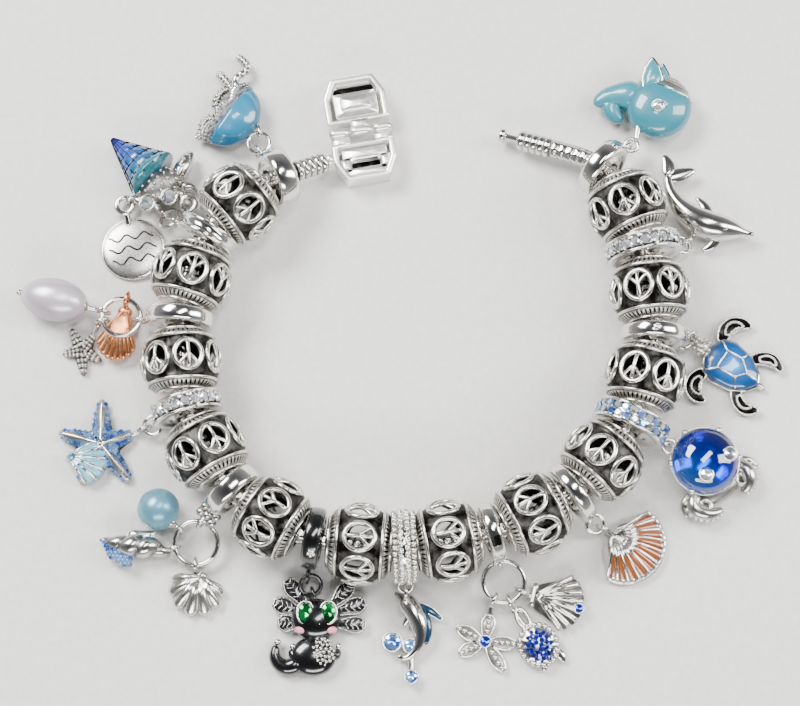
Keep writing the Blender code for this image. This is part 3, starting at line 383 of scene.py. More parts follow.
def metal(name, bright, dark, roughness, grain, blotch):
    """Metal whose colour goes from bright to dark with tone, moved a little by a cloudy noise.
    Grain is the size in mm of its buffing marks or cast pits, blotch how far tarnish wanders."""
    made, tree, shader, place, tone = blank(name)
    cloud = add(tree, "ShaderNodeTexNoise", {"Vector": place, "Scale": 1 / (1.6 * MM), "Detail": 4.0})
    wander = add(tree, "ShaderNodeMath", {0: cloud.outputs["Fac"], 1: -0.5}, operation="ADD")
    stained = add(tree, "ShaderNodeMath", {0: wander.outputs[0], 1: blotch, 2: tone},
                  operation="MULTIPLY_ADD")
    colour = add(tree, "ShaderNodeValToRGB", {"Fac": stained.outputs[0]},
                 stops=[(0.0, bright), (1.0, dark)])
    marks = add(tree, "ShaderNodeTexNoise", {"Vector": place, "Scale": 1 / (grain * MM), "Detail": 3.0})
    gloss = add(tree, "ShaderNodeMath", {0: marks.outputs["Fac"], 1: roughness * 0.7, 2: roughness * 0.65},
                operation="MULTIPLY_ADD")
    dull = add(tree, "ShaderNodeMath", {0: tone, 1: 0.3, 2: gloss.outputs[0]}, operation="MULTIPLY_ADD")
    dents = add(tree, "ShaderNodeBump", {"Height": marks.outputs["Fac"], "Strength": 0.25,
                                         "Distance": 0.03 * grain * MM})
    fill(tree, shader, {"Base Color": colour.outputs[0], "Roughness": dull.outputs[0],
                        "Normal": dents.outputs[0], "Metallic": 1.0})
    return made


SILVER, AGED, BRUSHED = "polished_silver", "antiqued_silver", "brushed_silver"
METALS = {
    # Rhodium-plated silver, tumbled bright: almost white, with soft-edged mirror bands.
    SILVER: ("#E4E1DC", "#2E2A28", 0.13, 0.5, 0.12),
    # Cast silver dipped in liver of sulphur, then buffed: black-brown hollows, worn bright ridges.
    AGED: ("#DDD9D2", "#0F0D0C", 0.22, 0.3, 0.4),
    # The clasp's silver, brushed fine before plating: it shines white from every side.
    BRUSHED: ("#F6F4F0", "#8C8883", 0.34, 0.5, 0.12),
    # Sand-blasted cast silver, as on the disc: a grey skin that sparkles a little.
    "satin_silver": ("#BDB9B4", "#35312F", 0.36, 0.25, 0.3),
    # Rose gold plate over brass.
    "rose_gold": ("#F0A878", "#9C4A22", 0.22, 0.4, 0.3),
}
FINISHES = {name: metal(name, *row) for name, row in METALS.items()}


# %% Enamels, stones, pearls and glass
def enamel(name, stops, roughness=0.3, metallic=0.0, peel=1.4):
    """Glass fused on metal: the colour follows tone through its stops, under a clear glossy coat
    whose slow waves, one for each peel mm, are those of a poured surface."""
    made, tree, shader, place, tone = blank(name)
    cloud = add(tree, "ShaderNodeTexNoise", {"Vector": place, "Scale": 1 / (peel * MM), "Detail": 2.0})
    wander = add(tree, "ShaderNodeMath", {0: cloud.outputs["Fac"], 1: 0.24, 2: tone},
                 operation="MULTIPLY_ADD")
    settled = add(tree, "ShaderNodeMath", {0: wander.outputs[0], 1: 0.12}, operation="SUBTRACT")
    colour = add(tree, "ShaderNodeValToRGB", {"Fac": settled.outputs[0]}, stops=stops)
    waves = add(tree, "ShaderNodeBump", {"Height": cloud.outputs["Fac"], "Strength": 0.3,
                                         "Distance": 0.02 * MM})
    fill(tree, shader, {"Base Color": colour.outputs[0], "Normal": waves.outputs[0], "Roughness": roughness,
                        "Metallic": metallic, "Coat Weight": 1.0, "Coat Roughness": 0.04})
    return made


def foiled_stone(name, pale, deep):
    """Cut glass with a mirror foil behind it: it flashes like metal of its own colour, and a cell
    pattern of one stone's size makes some stones paler than their neighbours."""
    made, tree, shader, place, _ = blank(name)
    cells = add(tree, "ShaderNodeTexVoronoi", {"Vector": place, "Scale": 1 / (0.8 * MM)})
    light = add(tree, "ShaderNodeSeparateColor", {0: cells.outputs["Color"]})
    colour = add(tree, "ShaderNodeValToRGB", {"Fac": light.outputs[0]}, stops=[(0.1, deep), (0.8, pale)])
    fill(tree, shader, {"Base Color": colour.outputs[0], "Roughness": 0.06, "Metallic": 0.7,
                        "Coat Weight": 1.0, "Coat Roughness": 0.02})
    return made


def pearl(name, body, shadow, film):
    """Nacre: thin layers over a bead, cloudy in colour, with a film some hundred nanometres thick.
    Its gloss is soft, so a light makes one wide glow where sharper gloss would make spots."""
    made, tree, shader, place, tone = blank(name)
    cloud = add(tree, "ShaderNodeTexNoise", {"Vector": place, "Scale": 1 / (3.0 * MM), "Detail": 3.0})
    mixed = add(tree, "ShaderNodeMath", {0: cloud.outputs["Fac"], 1: 0.3, 2: tone}, operation="MULTIPLY_ADD")
    colour = add(tree, "ShaderNodeValToRGB", {"Fac": mixed.outputs[0]}, stops=[(0.1, body), (1.0, shadow)])
    fill(tree, shader, {"Base Color": colour.outputs[0], "Roughness": 0.34, "Metallic": 0.45,
                        "Coat Weight": 0.35, "Coat Roughness": 0.25, "Thin Film Thickness": film,
                        "Thin Film IOR": 1.55, "Subsurface Weight": 0.1, "Subsurface Scale": 0.002})
    return made


def clear_glass(name, stops):
    """Glass over a bright cup: light goes through it and comes back in its own colour. Its colour also
    follows tone from a deep to a bright blue: a painted glow on one side and painted shade on the other.
    """
    made, tree, shader, _, tone = blank(name)
    painted_glow = add(tree, "ShaderNodeValToRGB", {"Fac": tone}, stops=stops)
    fill(tree, shader, {"Base Color": painted_glow.outputs[0], "Roughness": 0.03, "IOR": 1.5,
                        "Transmission Weight": 0.85, "Coat Weight": 1.0, "Coat Roughness": 0.02})
    return made


ENAMELS = {  # colour stops, roughness, share of metal
    "black_enamel": ([(0.0, "#060607"), (1.0, "#17171A")], 0.2),
    "turquoise_enamel": ([(0.0, "#005478"), (1.0, "#0C8AB0")], 0.35),
    "aqua_enamel": ([(0.0, "#0C6478"), (1.0, "#2F909E")], 0.4),
    "sea_enamel": ([(0.0, "#0C14A0"), (0.35, "#043CA0"), (1.0, "#00606E")], 0.36, 0.1),
    "pale_enamel": ([(0.0, "#4590AC"), (1.0, "#7AB6C8")], 0.3, 0.1),
    "royal_enamel": ([(0.0, "#013A6E"), (0.6, "#02589C"), (1.0, "#1C8CD2")], 0.3, 0.1),
    "dusk_enamel": ([(0.0, "#04182A"), (1.0, "#0C3E5E")], 0.25, 0.3),
    "copper_enamel": ([(0.0, "#6C3206"), (0.5, "#88440C"), (1.0, "#A85E1C")], 0.34, 0.2),
    "pink_enamel": ([(0.0, "#DB7F97"), (1.0, "#EBA0B2")],),
}
STONES = {  # pale, deep
    "clear_stone": ("#F4F6F8", "#8E959C"), "sky_stone": ("#9CC4F2", "#2F62BE"),
    "deep_stone": ("#2038C4", "#081470"), "green_stone": ("#0C8A3E", "#033F1C"),
}
PEARLS = {"nacre": ("#D2C8D0", "#7E7280", 420.0), "blue_nacre": ("#6AA2B4", "#2A6478", 380.0)}
GLASSES = {"cobalt_glass": ([(0.0, "#030C5A"), (0.5, "#0A34C8"), (1.0, "#1E8CFF")],)}
for maker, rows in ((enamel, ENAMELS), (foiled_stone, STONES), (pearl, PEARLS), (clear_glass, GLASSES)):
    FINISHES |= {name: maker(name, *row) for name, row in rows.items()}
print("finishes", len(FINISHES))

# %% [markdown]
# ## A small kit of surfaces
# A shape is a pair: its points and its four-sided faces. Six makers cover the bracelet: a sheet over a
# grid, a tube along a path, a turned profile, a ball, a cushion inside an outline, and a shape copied
# to many places. A piece joins shapes, welds seams and poles, and turns its faces outwards.


# %% The makers
def sheet(points, wrap_rows=False, wrap_columns=True):
    """Quads over a grid: each joins a point to the next ones along both parameters."""
    rows, columns = points.shape[:2]
    down, across = np.meshgrid(np.arange(rows if wrap_rows else rows - 1),
                               np.arange(columns if wrap_columns else columns - 1), indexing="ij")
    below, right = (down + 1) % rows, (across + 1) % columns
    faces = np.stack([down * columns + across, below * columns + across,
                      below * columns + right, down * columns + right], axis=-1)
    return points.reshape(-1, 3), faces.reshape(-1, 4)


def tube(path, width, height=None, sides=12, closed=False, up=UP):
    """Place along the path, plus width times cosine sideways, plus height times sine upwards."""
    path = np.asarray(path, float)
    ahead = np.roll(path, -1, 0) - np.roll(path, 1, 0) if closed else np.gradient(path, axis=0)
    side = unit(np.cross(up, ahead))
    lift = unit(np.cross(ahead, side))
    wide, tall = ((size if np.ndim(size) == 2 else np.broadcast_to(size, len(path))[:, None])[..., None]
                  for size in (width, width if height is None else height))
    angle = bearings(sides)[None, :, None]
    rows = path[:, None] + wide * np.cos(angle) * side[:, None] + tall * np.sin(angle) * lift[:, None]
    if not closed:
        rows = np.concatenate([np.repeat(path[:1, None], sides, 1), rows,
                               np.repeat(path[-1:, None], sides, 1)])
    return sheet(rows, wrap_rows=closed)


def limb(rows, per_span=8, sides=14):
    """A soft body from rows of place, width and height: all five follow one spline, and both ends
    are rounded, as the radius grows from zero by a circle's rule over its own length."""
    rows = np.array([(*row, row[3]) if len(row) == 4 else row for row in rows], float)
    fine = spline(rows, per_span)
    far = travelled(fine[:, :3])
    cap = np.ones(len(fine))
    for far, radius in ((far, fine[0, 3]), (far[-1] - far, fine[-1, 3])):
        cap = np.minimum(cap, np.sqrt(np.maximum(1 - np.clip(1 - far / radius, 0, 1) ** 2, 0.02)))
    return tube(fine[:, :3], fine[:, 3] * cap, fine[:, 4] * cap, sides)


def wire(points, radius):
    """A round wire through a few points."""
    return tube(spline(points, 8), radius, sides=8)


def turned(profile, columns=32, centre=(0, 0, 0)):
    """A profile of radius and height, carried once round the vertical."""
    profile = np.asarray(profile, float)
    angle = bearings(columns)[None, :]
    radius, height = profile[:, :1], np.broadcast_to(profile[:, 1:2], (len(profile), columns))
    points = np.stack([radius * np.cos(angle), radius * np.sin(angle), height], axis=-1)
    return sheet(points + centre)


def ball(centre, radii, rows=14, columns=24):
    """Cosine and sine of latitude and longitude, stretched to three radii."""
    latitude = np.linspace(-np.pi / 2, np.pi / 2, rows)
    points, faces = turned(np.stack([np.cos(latitude), np.sin(latitude)], axis=1), columns)
    return points * np.broadcast_to(radii, 3) + centre, faces


def hoop(centre, radius, wire_radius, hole=UP, columns=36, sides=10):
    """A closed wire ring whose hole looks along a direction."""
    hole = unit(hole)
    across = unit(np.cross(hole, (0.36, 0.48, 0.8) if abs(hole[2]) < 0.9 else (1, 0, 0)))
    angle = bearings(columns)[:, None]
    circle = np.cos(angle) * across + np.sin(angle) * np.cross(hole, across)
    return tube(np.asarray(centre) + radius * circle, wire_radius, sides=sides, closed=True, up=hole)


def outline(points, count=96, soften=2):
    """A closed line at even steps through corners, each point then averaged with its neighbours
    so that the corners are rounded."""
    corners = np.asarray(points, float)
    ring = np.concatenate([corners, corners[:1]])
    far = travelled(ring)
    at = np.linspace(0, far[-1], count, endpoint=False)
    line = np.stack([np.interp(at, far, ring[:, axis]) for axis in (0, 1)], axis=1)
    for _ in range(soften):
        line = (np.roll(line, 1, 0) + 2 * line + np.roll(line, -1, 0)) / 4
    return line


def cushion(line, profile, centre=None, relief=None):
    """An outline shrunk towards its centre by each row's share, at that row's height. Relief is a
    height to add, worked out from the share and each point's angle round the centre."""
    line = np.asarray(line, float)
    centre = line.mean(axis=0) if centre is None else np.asarray(centre, float)
    share, height = np.asarray(profile, float).T
    flat = centre + share[:, None, None] * (line - centre)
    heights = np.broadcast_to(height[:, None], flat.shape[:2]).copy()
    if relief is not None:
        angle = np.arctan2(*(line - centre).T[::-1])[None, :]
        heights += relief(share[:, None], angle) * (heights > height.min() + 1e-6)
    return sheet(np.concatenate([flat, heights[..., None]], axis=-1))


def pillow(low, high, edge=0.35, rows=8):
    """A cushion's profile: flat below, a short wall, then a quarter ellipse up to the middle."""
    angle = np.linspace(0, np.pi / 2, rows)
    wall = low + (high - low) * edge
    dome = np.stack([np.cos(angle), wall + (high - wall) * np.sin(angle)], axis=1)
    return np.concatenate([[(0, low), (0.94, low), (1, low + 0.1 * (high - low))], dome])


def placed(matrix, shape):
    """A shape turned and moved by a matrix."""
    return moved(matrix, shape[0]), shape[1]


def together(*shapes):
    """Shapes joined into one, each with its faces' numbers moved on by the points before it."""
    starts = np.cumsum([0] + [len(points) for points, _ in shapes[:-1]])
    return (np.concatenate([points for points, _ in shapes]),
            np.concatenate([faces + start for (_, faces), start in zip(shapes, starts)]))


def upright(normals):
    """For each normal, three axes with that normal as the third."""
    normals = unit(normals)
    other = np.where(np.abs(normals[:, 2:3]) < 0.9, UP, (1.0, 0.0, 0.0))
    side = unit(np.cross(other, normals))
    return np.stack([side, np.cross(normals, side), normals], axis=-1)


def scattered(shape, places, normals, sizes=1.0):
    """One shape copied to many places at once: turned to each normal, scaled, then moved."""
    points, faces = shape
    places = np.atleast_2d(np.asarray(places, float))
    normals = np.broadcast_to(np.asarray(normals, float), places.shape)
    sizes = np.broadcast_to(sizes, len(places))
    copies = np.einsum("nij,kj->nki", upright(normals), points) * sizes[:, None, None] + places[:, None]
    steps = np.arange(len(places))[:, None, None] * len(points)
    return copies.reshape(-1, 3), (faces + steps).reshape(-1, 4)


# A cut stone with its girdle at height zero: eight facets below, eight above, and a flat table.
CUT_STONE = turned([(0, -0.55), (1, -0.06), (1, 0.06), (0.6, 0.42), (0, 0.42)], columns=8)
GRAIN = ball((0, 0, 0), 1.0, rows=5, columns=6)
WELD = 1e-7


# %% Pieces from shapes
def piece(name, layers, replaces, body="bracelet", matrix=np.eye(4)):
    """One object from layers of (shape in mm or a list of them, finish, tone, flat facets): placed by
    the matrix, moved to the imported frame, its seams welded and its faces turned outwards."""
    layers = [(*layer, *(0.0, False)[len(layer) - 2:]) for layer in layers]
    shapes, finishes, tones, facets = zip(*layers)
    shapes = [placed(matrix, shape if isinstance(shape, tuple) else together(*shape)) for shape in shapes]
    points, faces = together(*shapes)
    mesh = bpy.data.meshes.new(name)
    mesh.from_pydata(in_frame(points).tolist(), [], faces.tolist())
    names = list(dict.fromkeys(finishes))
    for finish in names:
        mesh.materials.append(FINISHES[finish])
    tones = np.concatenate([np.broadcast_to(tone, len(shape[0])) for tone, shape in zip(tones, shapes)])
    mesh.attributes.new("tone", "FLOAT", "POINT").data.foreach_set("value", tones.astype(np.float32))
    per_layer = [len(shape[1]) for shape in shapes]
    slots = np.repeat([names.index(finish) for finish in finishes], per_layer)
    mesh.polygons.foreach_set("material_index", slots.astype(np.int32))
    mesh.polygons.foreach_set("use_smooth", ~np.repeat(facets, per_layer))
    bm = bmesh.new()
    bm.from_mesh(mesh)
    bmesh.ops.remove_doubles(bm, verts=bm.verts, dist=WELD)
    bmesh.ops.recalc_face_normals(bm, faces=bm.faces)
    bm.to_mesh(mesh)
    bm.free()
    made = bpy.data.objects.new(name, mesh)
    bpy.context.scene.collection.objects.link(made)
    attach(made, body)
    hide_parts(*replaces)
    low, high = points[:, 2].min(), points[:, 2].max()
    print(f"{name}: {len(mesh.polygons)} faces, {low:.2f} to {high:.2f} mm high")


# %% [markdown]
# ## The snake chain
# A snake chain is short zigzag plates soldered round each other into a bendy tube. The plates are
# far too fine to model one by one, so the tube's radius carries them: it drops into a groove wherever
# the distance along, pushed on by a zigzag round the tube, comes to a whole number of pitches.

# %% Chain
PLATE_PITCH, PLATE_COLUMNS, GROOVE, CHAIN_CELL, CHAIN_SIDES = 1.25, 4, 0.13, 0.19, 32
ZIGZAG_PUSH, SEAM_SLOPE, SEAM_FLOOR, GROOVE_DARKENING, END_DARKENING = 0.55, 6, 0.35, 0.85, 0.3
steps = int(CHAIN_LENGTH / CHAIN_CELL)
far = np.linspace(0, CHAIN_LENGTH, steps)
path, ahead = on_chain(far), heading(far)
side = unit(np.cross(UP, ahead))
lift = np.cross(ahead, side)
angle = bearings(CHAIN_SIDES)
zigzag = np.abs(2 * ((angle / TURN * PLATE_COLUMNS) % 1) - 1)
phase = (far[:, None] / PLATE_PITCH + ZIGZAG_PUSH * zigzag[None, :]) % 1
ridge = 1 - np.abs(2 * phase - 1) ** 4
seam = np.minimum(1, SEAM_SLOPE * np.minimum(zigzag, 1 - zigzag))[None, :]
relief = np.minimum(ridge, SEAM_FLOOR + (1 - SEAM_FLOOR) * seam)
radius = CHAIN_RADIUS * (1 - GROOVE * (1 - relief))
rows = (path[:, None] + (radius * np.cos(angle))[..., None] * side[:, None]
        + (radius * np.sin(angle))[..., None] * lift[:, None])
rows = np.concatenate([np.repeat(path[:1, None], CHAIN_SIDES, 1), rows,
                       np.repeat(path[-1:, None], CHAIN_SIDES, 1)])
# The grooves between the plates get a dark tone, darkest where the relief is lowest, and the two end caps a
# fixed smaller tone.
tone = np.pad(GROOVE_DARKENING * (1 - relief) ** 1.5, ((1, 1), (0, 0)), constant_values=END_DARKENING).ravel()
piece("snake_chain_weave", [(sheet(rows), SILVER, tone)], ["snake_chain"])

# %% [markdown]
# ## The pierced beads
# Each bead is cast: a barrel band with seven round windows, a bright ring and a peace sign in each
# window, a rim at either side, and a ribbed collar. One bead is worked out once, then turned and
# placed twelve times. A window's cell is a grid whose one edge is a circle and the other a rectangle,
# so seven cells close up into a band with clean round holes, and the collars weld to its edges.

# %% One bead
WINDOWS, WINDOW_RADIUS, HOOP_RADIUS = 7, 2.12, 2.3
EDGE_STEPS, SIDE_STEPS, RIBS = 24, 8, 42
BAND_DEPTH, BAND_WALL, RIB_HEIGHT, RIB_MIDDLE, INSIDE_FROM = 0.42, 0.55, 0.24, 0.6, 14


def barrel(x):
    """The band's outer radius: a parabola from the full radius down to the rims."""
    return BEAD_RADIUS - (BEAD_RADIUS - RIM_RADIUS) * (x / (BAND_WIDTH / 2)) ** 2


def on_barrel(x, swing, depth):
    """A place on the band from its distance along, its swing round in radians and its depth."""
    radius = barrel(x) - depth
    return np.stack([x + 0 * swing, -radius * np.sin(swing), radius * np.cos(swing)], axis=-1)


def window_cell():
    """Mixes from the rectangle to the circle of the same direction, outside, then back inside."""
    half, cell = BAND_WIDTH / 2, np.pi / WINDOWS
    edge, side = np.linspace(-1, 1, EDGE_STEPS + 1)[:-1], np.linspace(-1, 1, SIDE_STEPS + 1)[:-1]
    a = np.concatenate([np.ones(EDGE_STEPS), -side, -np.ones(EDGE_STEPS), side])
    b = np.concatenate([edge, np.ones(SIDE_STEPS), -edge, -np.ones(SIDE_STEPS)])
    x, swing = half * a, cell * b
    way = np.arctan2(swing * BEAD_RADIUS, x)
    circle_x, circle_swing = WINDOW_RADIUS * np.cos(way), WINDOW_RADIUS * np.sin(way) / BEAD_RADIUS
    mix = np.array([0, 0.5, 1, 1, 0.5, 0])[:, None]
    depth = np.array([BAND_DEPTH] * 3 + [BAND_DEPTH + BAND_WALL] * 3)[:, None]
    return sheet(on_barrel(x + (circle_x - x) * mix, swing + (circle_swing - swing) * mix, depth))


def collar(side):
    """Rim, ribs and end ring turned round the chain, ribbed where the profile says so: one layer."""
    half = BAND_WIDTH / 2
    profile = np.array([  # along, radius, share of rib
        (half, RIM_RADIUS - BAND_DEPTH, 0), (3.22, 5.44, 0), (3.42, 5.56, 0), (3.62, 5.44, 0),
        (3.7, 5.02, 0), (3.82, 5.0, 0.5), (4.0, 4.84, 1), (4.3, 4.5, 1), (4.52, 4.16, 0.5),
        (4.6, 3.9, 0), (4.68, 4.02, 0), (4.9, 3.96, 0), (5.04, 3.7, 0), (5.08, 3.1, 0), (5.06, 1.98, 0),
        (4.6, 1.95, 0), (4.3, 3.2, 0), (half, RIM_RADIUS - BAND_DEPTH - BAND_WALL, 0)])
    columns = WINDOWS * EDGE_STEPS
    swing = np.arange(columns) * TURN / columns + np.pi / WINDOWS
    rib = (0.5 + 0.5 * np.cos(RIBS * swing)) ** 0.7
    radius = profile[:, 1:2] + profile[:, 2:] * RIB_HEIGHT * (rib[None, :] - RIB_MIDDLE)
    x = np.broadcast_to(profile[:, :1] * side, radius.shape)
    row = np.arange(len(profile))[:, None]
    tone = 1.5 * profile[:, 2:] * (1 - rib[None, :]) + np.isin(row, (0, 4, 9))
    # Rows past INSIDE_FROM, the collar's inside and the bore, get full tone: partly the oxide of the
    # antiqued silver, partly painted shade where the inside is hidden from light.
    tone = np.maximum(tone, row > INSIDE_FROM)
    return sheet(np.stack([x, -radius * np.sin(swing), radius * np.cos(swing)], -1)), AGED, tone.ravel()


def spoke(x_from, y_from, x_to, y_to, width):
    """A flat bar of a peace sign, bent over the barrel."""
    t = np.linspace(0, 1, 7)
    x, y = x_from + (x_to - x_from) * t, y_from + (y_to - y_from) * t
    return tube(on_barrel(x, y / BEAD_RADIUS, 0.3), width, 0.3, sides=8)


def bead_layers(top):
    """All seven windows of a bead. Top is the side that the peace signs' heads point to."""
    turn = bearings(36)
    ring_path = on_barrel(HOOP_RADIUS * np.cos(turn), HOOP_RADIUS * np.sin(turn) / BEAD_RADIUS, 0.37)
    reach, arm = HOOP_RADIUS, HOOP_RADIUS * np.sqrt(0.5)
    sign = together(tube(ring_path, 0.4, 0.36, sides=8, closed=True),
                    spoke(-reach, 0, reach, 0, 0.3),
                    spoke(0, 0, -top * arm, arm, 0.27), spoke(0, 0, -top * arm, -arm, 0.27))
    spins = [about_x(TURN * number / WINDOWS) for number in range(WINDOWS)]
    signs, cells = (together(*[placed(spin, shape) for spin in spins]) for shape in (sign, window_cell()))
    height = np.hypot(signs[0][:, 1], signs[0][:, 2]) - barrel(signs[0][:, 0])
    return [(cells, AGED, 0.95), collar(-1), collar(1), (signs, AGED, np.clip(-0.15 - height, 0, 1) * 1.6)]


# %% Twelve beads
BEAD_COLUMNS = ("swing", "top")
BEADS = [dict(zip(BEAD_COLUMNS, row)) for row in [
    (21.2, -1), (4.5, 1), (17.6, -1), (25.7, -1), (28.0, 1), (16.7, -1), (17.4, -1), (25.5, 1),
    (18.2, 1), (26.7, 1), (22.5, -1), (6.3, 1)]]
layers_by_top = {top: bead_layers(top) for top in (-1, 1)}
for number, (s, bead) in enumerate(zip(BEAD_AT, BEADS), start=1):
    matrix = seat(s)
    swing = np.radians(bead["swing"] - (90 - ELEVATION) * matrix[1, 1])
    piece(f"pierced_bead_{number:02d}", layers_by_top[bead["top"]], [f"bead_{number:02d}"],
          matrix=matrix @ about_x(-swing))

# %% [markdown]
# ## The bails
# A bail is a ring that slides on the chain, with a small eye for its charm. Each has its own front:
# smooth, ridged, set with stones, strewn with beads, black, or dotted with enamel. They share
# one turned section, hollowed at both sides so that it reads as a ring and not as a disc.


# %% Rings, stones in cups, and other small fittings
GRIP_COLUMNS, PRONG, ROW_OFFSET, STONE_PITCH = 72, 0.2, 0.62, 1.55
RIDGED_BAIL, STONE_BAILS, PAVE_BAIL, GRAIN_BAIL = 2, (4, 12), 10, 7
FLOWER_BAIL, BLACK_BAIL, SQUARE_BAIL, STUD_BAIL, DOTTED_BAIL = 5, 6, 8, 11, 13


def grip(radius, width, outer):
    """A ring turned round the chain: an outer profile of (share of the half width, depth), then
    the hollow side, the bore and the other hollow side."""
    half = width / 2
    face = [(radius - depth, share * half) for share, depth in outer]
    side = [(radius - 1.15, half), (radius - 1.35, half - 0.35), (2.7, half - 0.35), (2.5, half)]
    loop = np.array(face + side + [(BORE_RADIUS, half), (BORE_RADIUS, -half)]
                    + [(r, -z) for r, z in side[::-1]])
    angle = bearings(GRIP_COLUMNS)[None, :]
    spread = np.broadcast_to(loop[:, 1:2], (len(loop), GRIP_COLUMNS))
    return sheet(np.stack([loop[:, :1] * np.cos(angle), loop[:, :1] * np.sin(angle), spread], -1),
                 wrap_rows=True)


OUTERS = {
    "smooth": [(-1, 0.62), (-0.9, 0.22), (-0.55, 0.05), (0, 0), (0.55, 0.05), (0.9, 0.22), (1, 0.62)],
    "ridged": [(-1, 0.5), (-0.95, 0.12), (-0.75, 0), (-0.55, 0.12), (-0.45, 0.38), (0, 0.3), (0.45, 0.38),
               (0.55, 0.12), (0.75, 0), (0.95, 0.12), (1, 0.5)],
    "channel": [(-1, 0.5), (-0.97, 0.1), (-0.84, 0), (-0.72, 0.1), (-0.7, 0.5), (0, 0.45), (0.7, 0.5),
                (0.72, 0.1), (0.84, 0), (0.97, 0.1), (1, 0.5)],
}


def round_row(shape, radius, height, count, size, start=0.0):
    """One shape side by side round a ring, each copy facing straight out."""
    out = compass(start + bearings(count))
    return scattered(shape, radius * out + (0, 0, height), out, size)


def row_of_stones(radius, height, count, size, finish, start=0.0):
    """Cut stones round a ring."""
    return round_row(CUT_STONE, radius, height, count, size, start), finish, 0.0, True


def row_of_grains(radius, height, count, size, start=0.0):
    """Small round prongs round a ring."""
    return round_row(GRAIN, radius, height, count, size, start), SILVER


def in_cup(place, radius, finish, normal=UP, depth=1.2, stretch=(1, 1, 1)):
    """A round stone in a cup whose thin wall is burnished over its edge."""
    cup = turned([(0, -depth), (radius * 0.9, -depth), (radius * 1.12, -depth * 0.4),
                  (radius * 1.2, 0.1), (radius * 1.08, 0.26), (radius * 0.98, 0.1), (0, 0)], columns=24)
    stone = turned([(0, -0.1), (1, 0), (0.84, 0.3), (0.5, 0.44), (0, 0.26)], columns=12)
    cup, stone = ((points * stretch, faces) for points, faces in (cup, stone))
    return [(scattered(cup, [place], normal), SILVER, 0.1),
            (scattered(stone, [place], normal, radius), finish, 0.0, True)]


def bail_front(number, radius):
    """Which section a bail's ring has, and the layers of stones or grains that it wears."""
    rim, top = radius - 0.3, radius - 0.02
    if number in STONE_BAILS:
        count = round(TURN * rim / STONE_PITCH)
        return "channel", [row_of_stones(rim, 0, count, 0.72, "clear_stone"),
                           *[row_of_grains(top, z, count, PRONG, np.pi / count)
                             for z in (ROW_OFFSET, -ROW_OFFSET)]]
    if number == PAVE_BAIL:
        count = 26
        rows = [row_of_stones(rim, z, count // 2, 0.66, finish, start + swing)
                for z, swing in ((ROW_OFFSET, 0), (-ROW_OFFSET, np.pi / count))
                for start, finish in ((0, "sky_stone"), (TURN / count, "clear_stone"))]
        return "channel", rows + [row_of_grains(top, 0, count, PRONG, np.pi / count)]
    if number == GRAIN_BAIL:
        count = 34
        return "smooth", [row_of_grains(radius - 0.22 * abs(z), z, count, 0.49, share * TURN / count)
                          for z, share in ((-1.44, 0), (-0.48, 0.5), (0.48, 0), (1.44, 0.5))]
    return ("ridged" if number == RIDGED_BAIL else "smooth"), []


def facing_up(matrix, radius, along, lean=0.0):
    """A place and normal on a bail's outside where it faces the sky. Lean moves it by a share of the
    way down to the eye."""
    up = matrix[:3, :3].T @ UP
    angle = np.arctan2(up[1], up[0]) * (1 - lean)
    out = np.array([np.cos(angle), np.sin(angle), 0])
    return radius * out + (0, 0, along), out


def ornament(number, matrix, radius):
    """The small mark on a few bails: a flower, a dark square, a stud, or enamel dots."""
    if number == BLACK_BAIL:
        place, out = facing_up(matrix, radius, 0.3, 0.3)
        petals = 0.42 * compass(bearings(5)) @ upright(out[None])[0].T
        return [(scattered(GRAIN, place + petals, out, 0.3), SILVER),
                (scattered(GRAIN, [place + out * 0.12], out, 0.28), SILVER)]
    if number == SQUARE_BAIL:
        place, out = facing_up(matrix, radius, -0.1, 0.2)
        return [(scattered(cushion(outline([(-0.8, -0.7), (0.8, -0.7), (0.8, 0.7), (-0.8, 0.7)], 32, 1),
                                   pillow(-0.3, 0.14, 0.9, 3)), [place], out), AGED, 1.0)]
    if number == STUD_BAIL:
        place, out = facing_up(matrix, radius - 0.02, 0)
        return in_cup(place, 0.45, AGED, depth=0.4, normal=out)
    if number == DOTTED_BAIL:
        dots = [facing_up(matrix, radius - 0.05, along, lean) for along, lean in ((-0.3, 0.42), (0.2, 0.8))]
        return [layer for place, out in dots
                for layer in in_cup(place, 0.85, "aqua_enamel", depth=0.4, normal=out)]
    return []


# %% Thirteen bails
for number, bail in enumerate(BAILS, start=1):
    matrix, radius, width = bail_place(number), bail["radius"], bail["width"]
    style, extras = bail_front(number, radius)
    finish, slot = ("black_enamel", "black_enamel") if number == BLACK_BAIL else (SILVER, "silver")
    ring, reach = grip(radius, width, OUTERS[style]), eye_reach(number)
    eye = hoop((reach, 0, 0), EYE_RADIUS, EYE_WIRE, (0, 1, 0) if number == FLAT_EYE else UP)
    neck = tube([(x, 0, 0) for x in np.linspace(radius - 0.5, reach - EYE_RADIUS + 0.1, 6)],
                np.array([0.95, 0.8, 0.6, 0.5, 0.45, 0.4]), sides=14)
    layers = [(ring, finish, 0.0), ([eye, neck], finish, 0.1), *extras]
    if number == FLOWER_BAIL:
        up = facing_up(matrix, 1, 0, 0.35)[1]
        circle = compass(bearings(6)) @ upright(up[None])[0].T
        petals = np.array([radius + 0.5, 0, 0]) + 0.6 * up + np.vstack([1.4 * circle, 0.35 * up])
        layers.append((scattered(ball((0, 0, 0), 0.78, 8, 12), petals, up), finish, 0.3))
    layers += ornament(number, matrix, radius)
    piece(f"slide_bail_{number:02d}", layers, [f"bail_{number:02d}"], matrix=matrix)

# %% Jump rings
for name, ring in RINGS.items():
    finish, slot = ("black_enamel", "black_enamel") if name == "axolotl_ring" else (SILVER, "silver")
    thick = 0.4 if ring["radius"] > 2 else 0.32
    shape = hoop((0, 0, 0), ring["radius"], thick, columns=56, sides=12)
    piece(f"round_{name}", [(shape, finish, 0.05)], [name], matrix=ring_place(**ring))

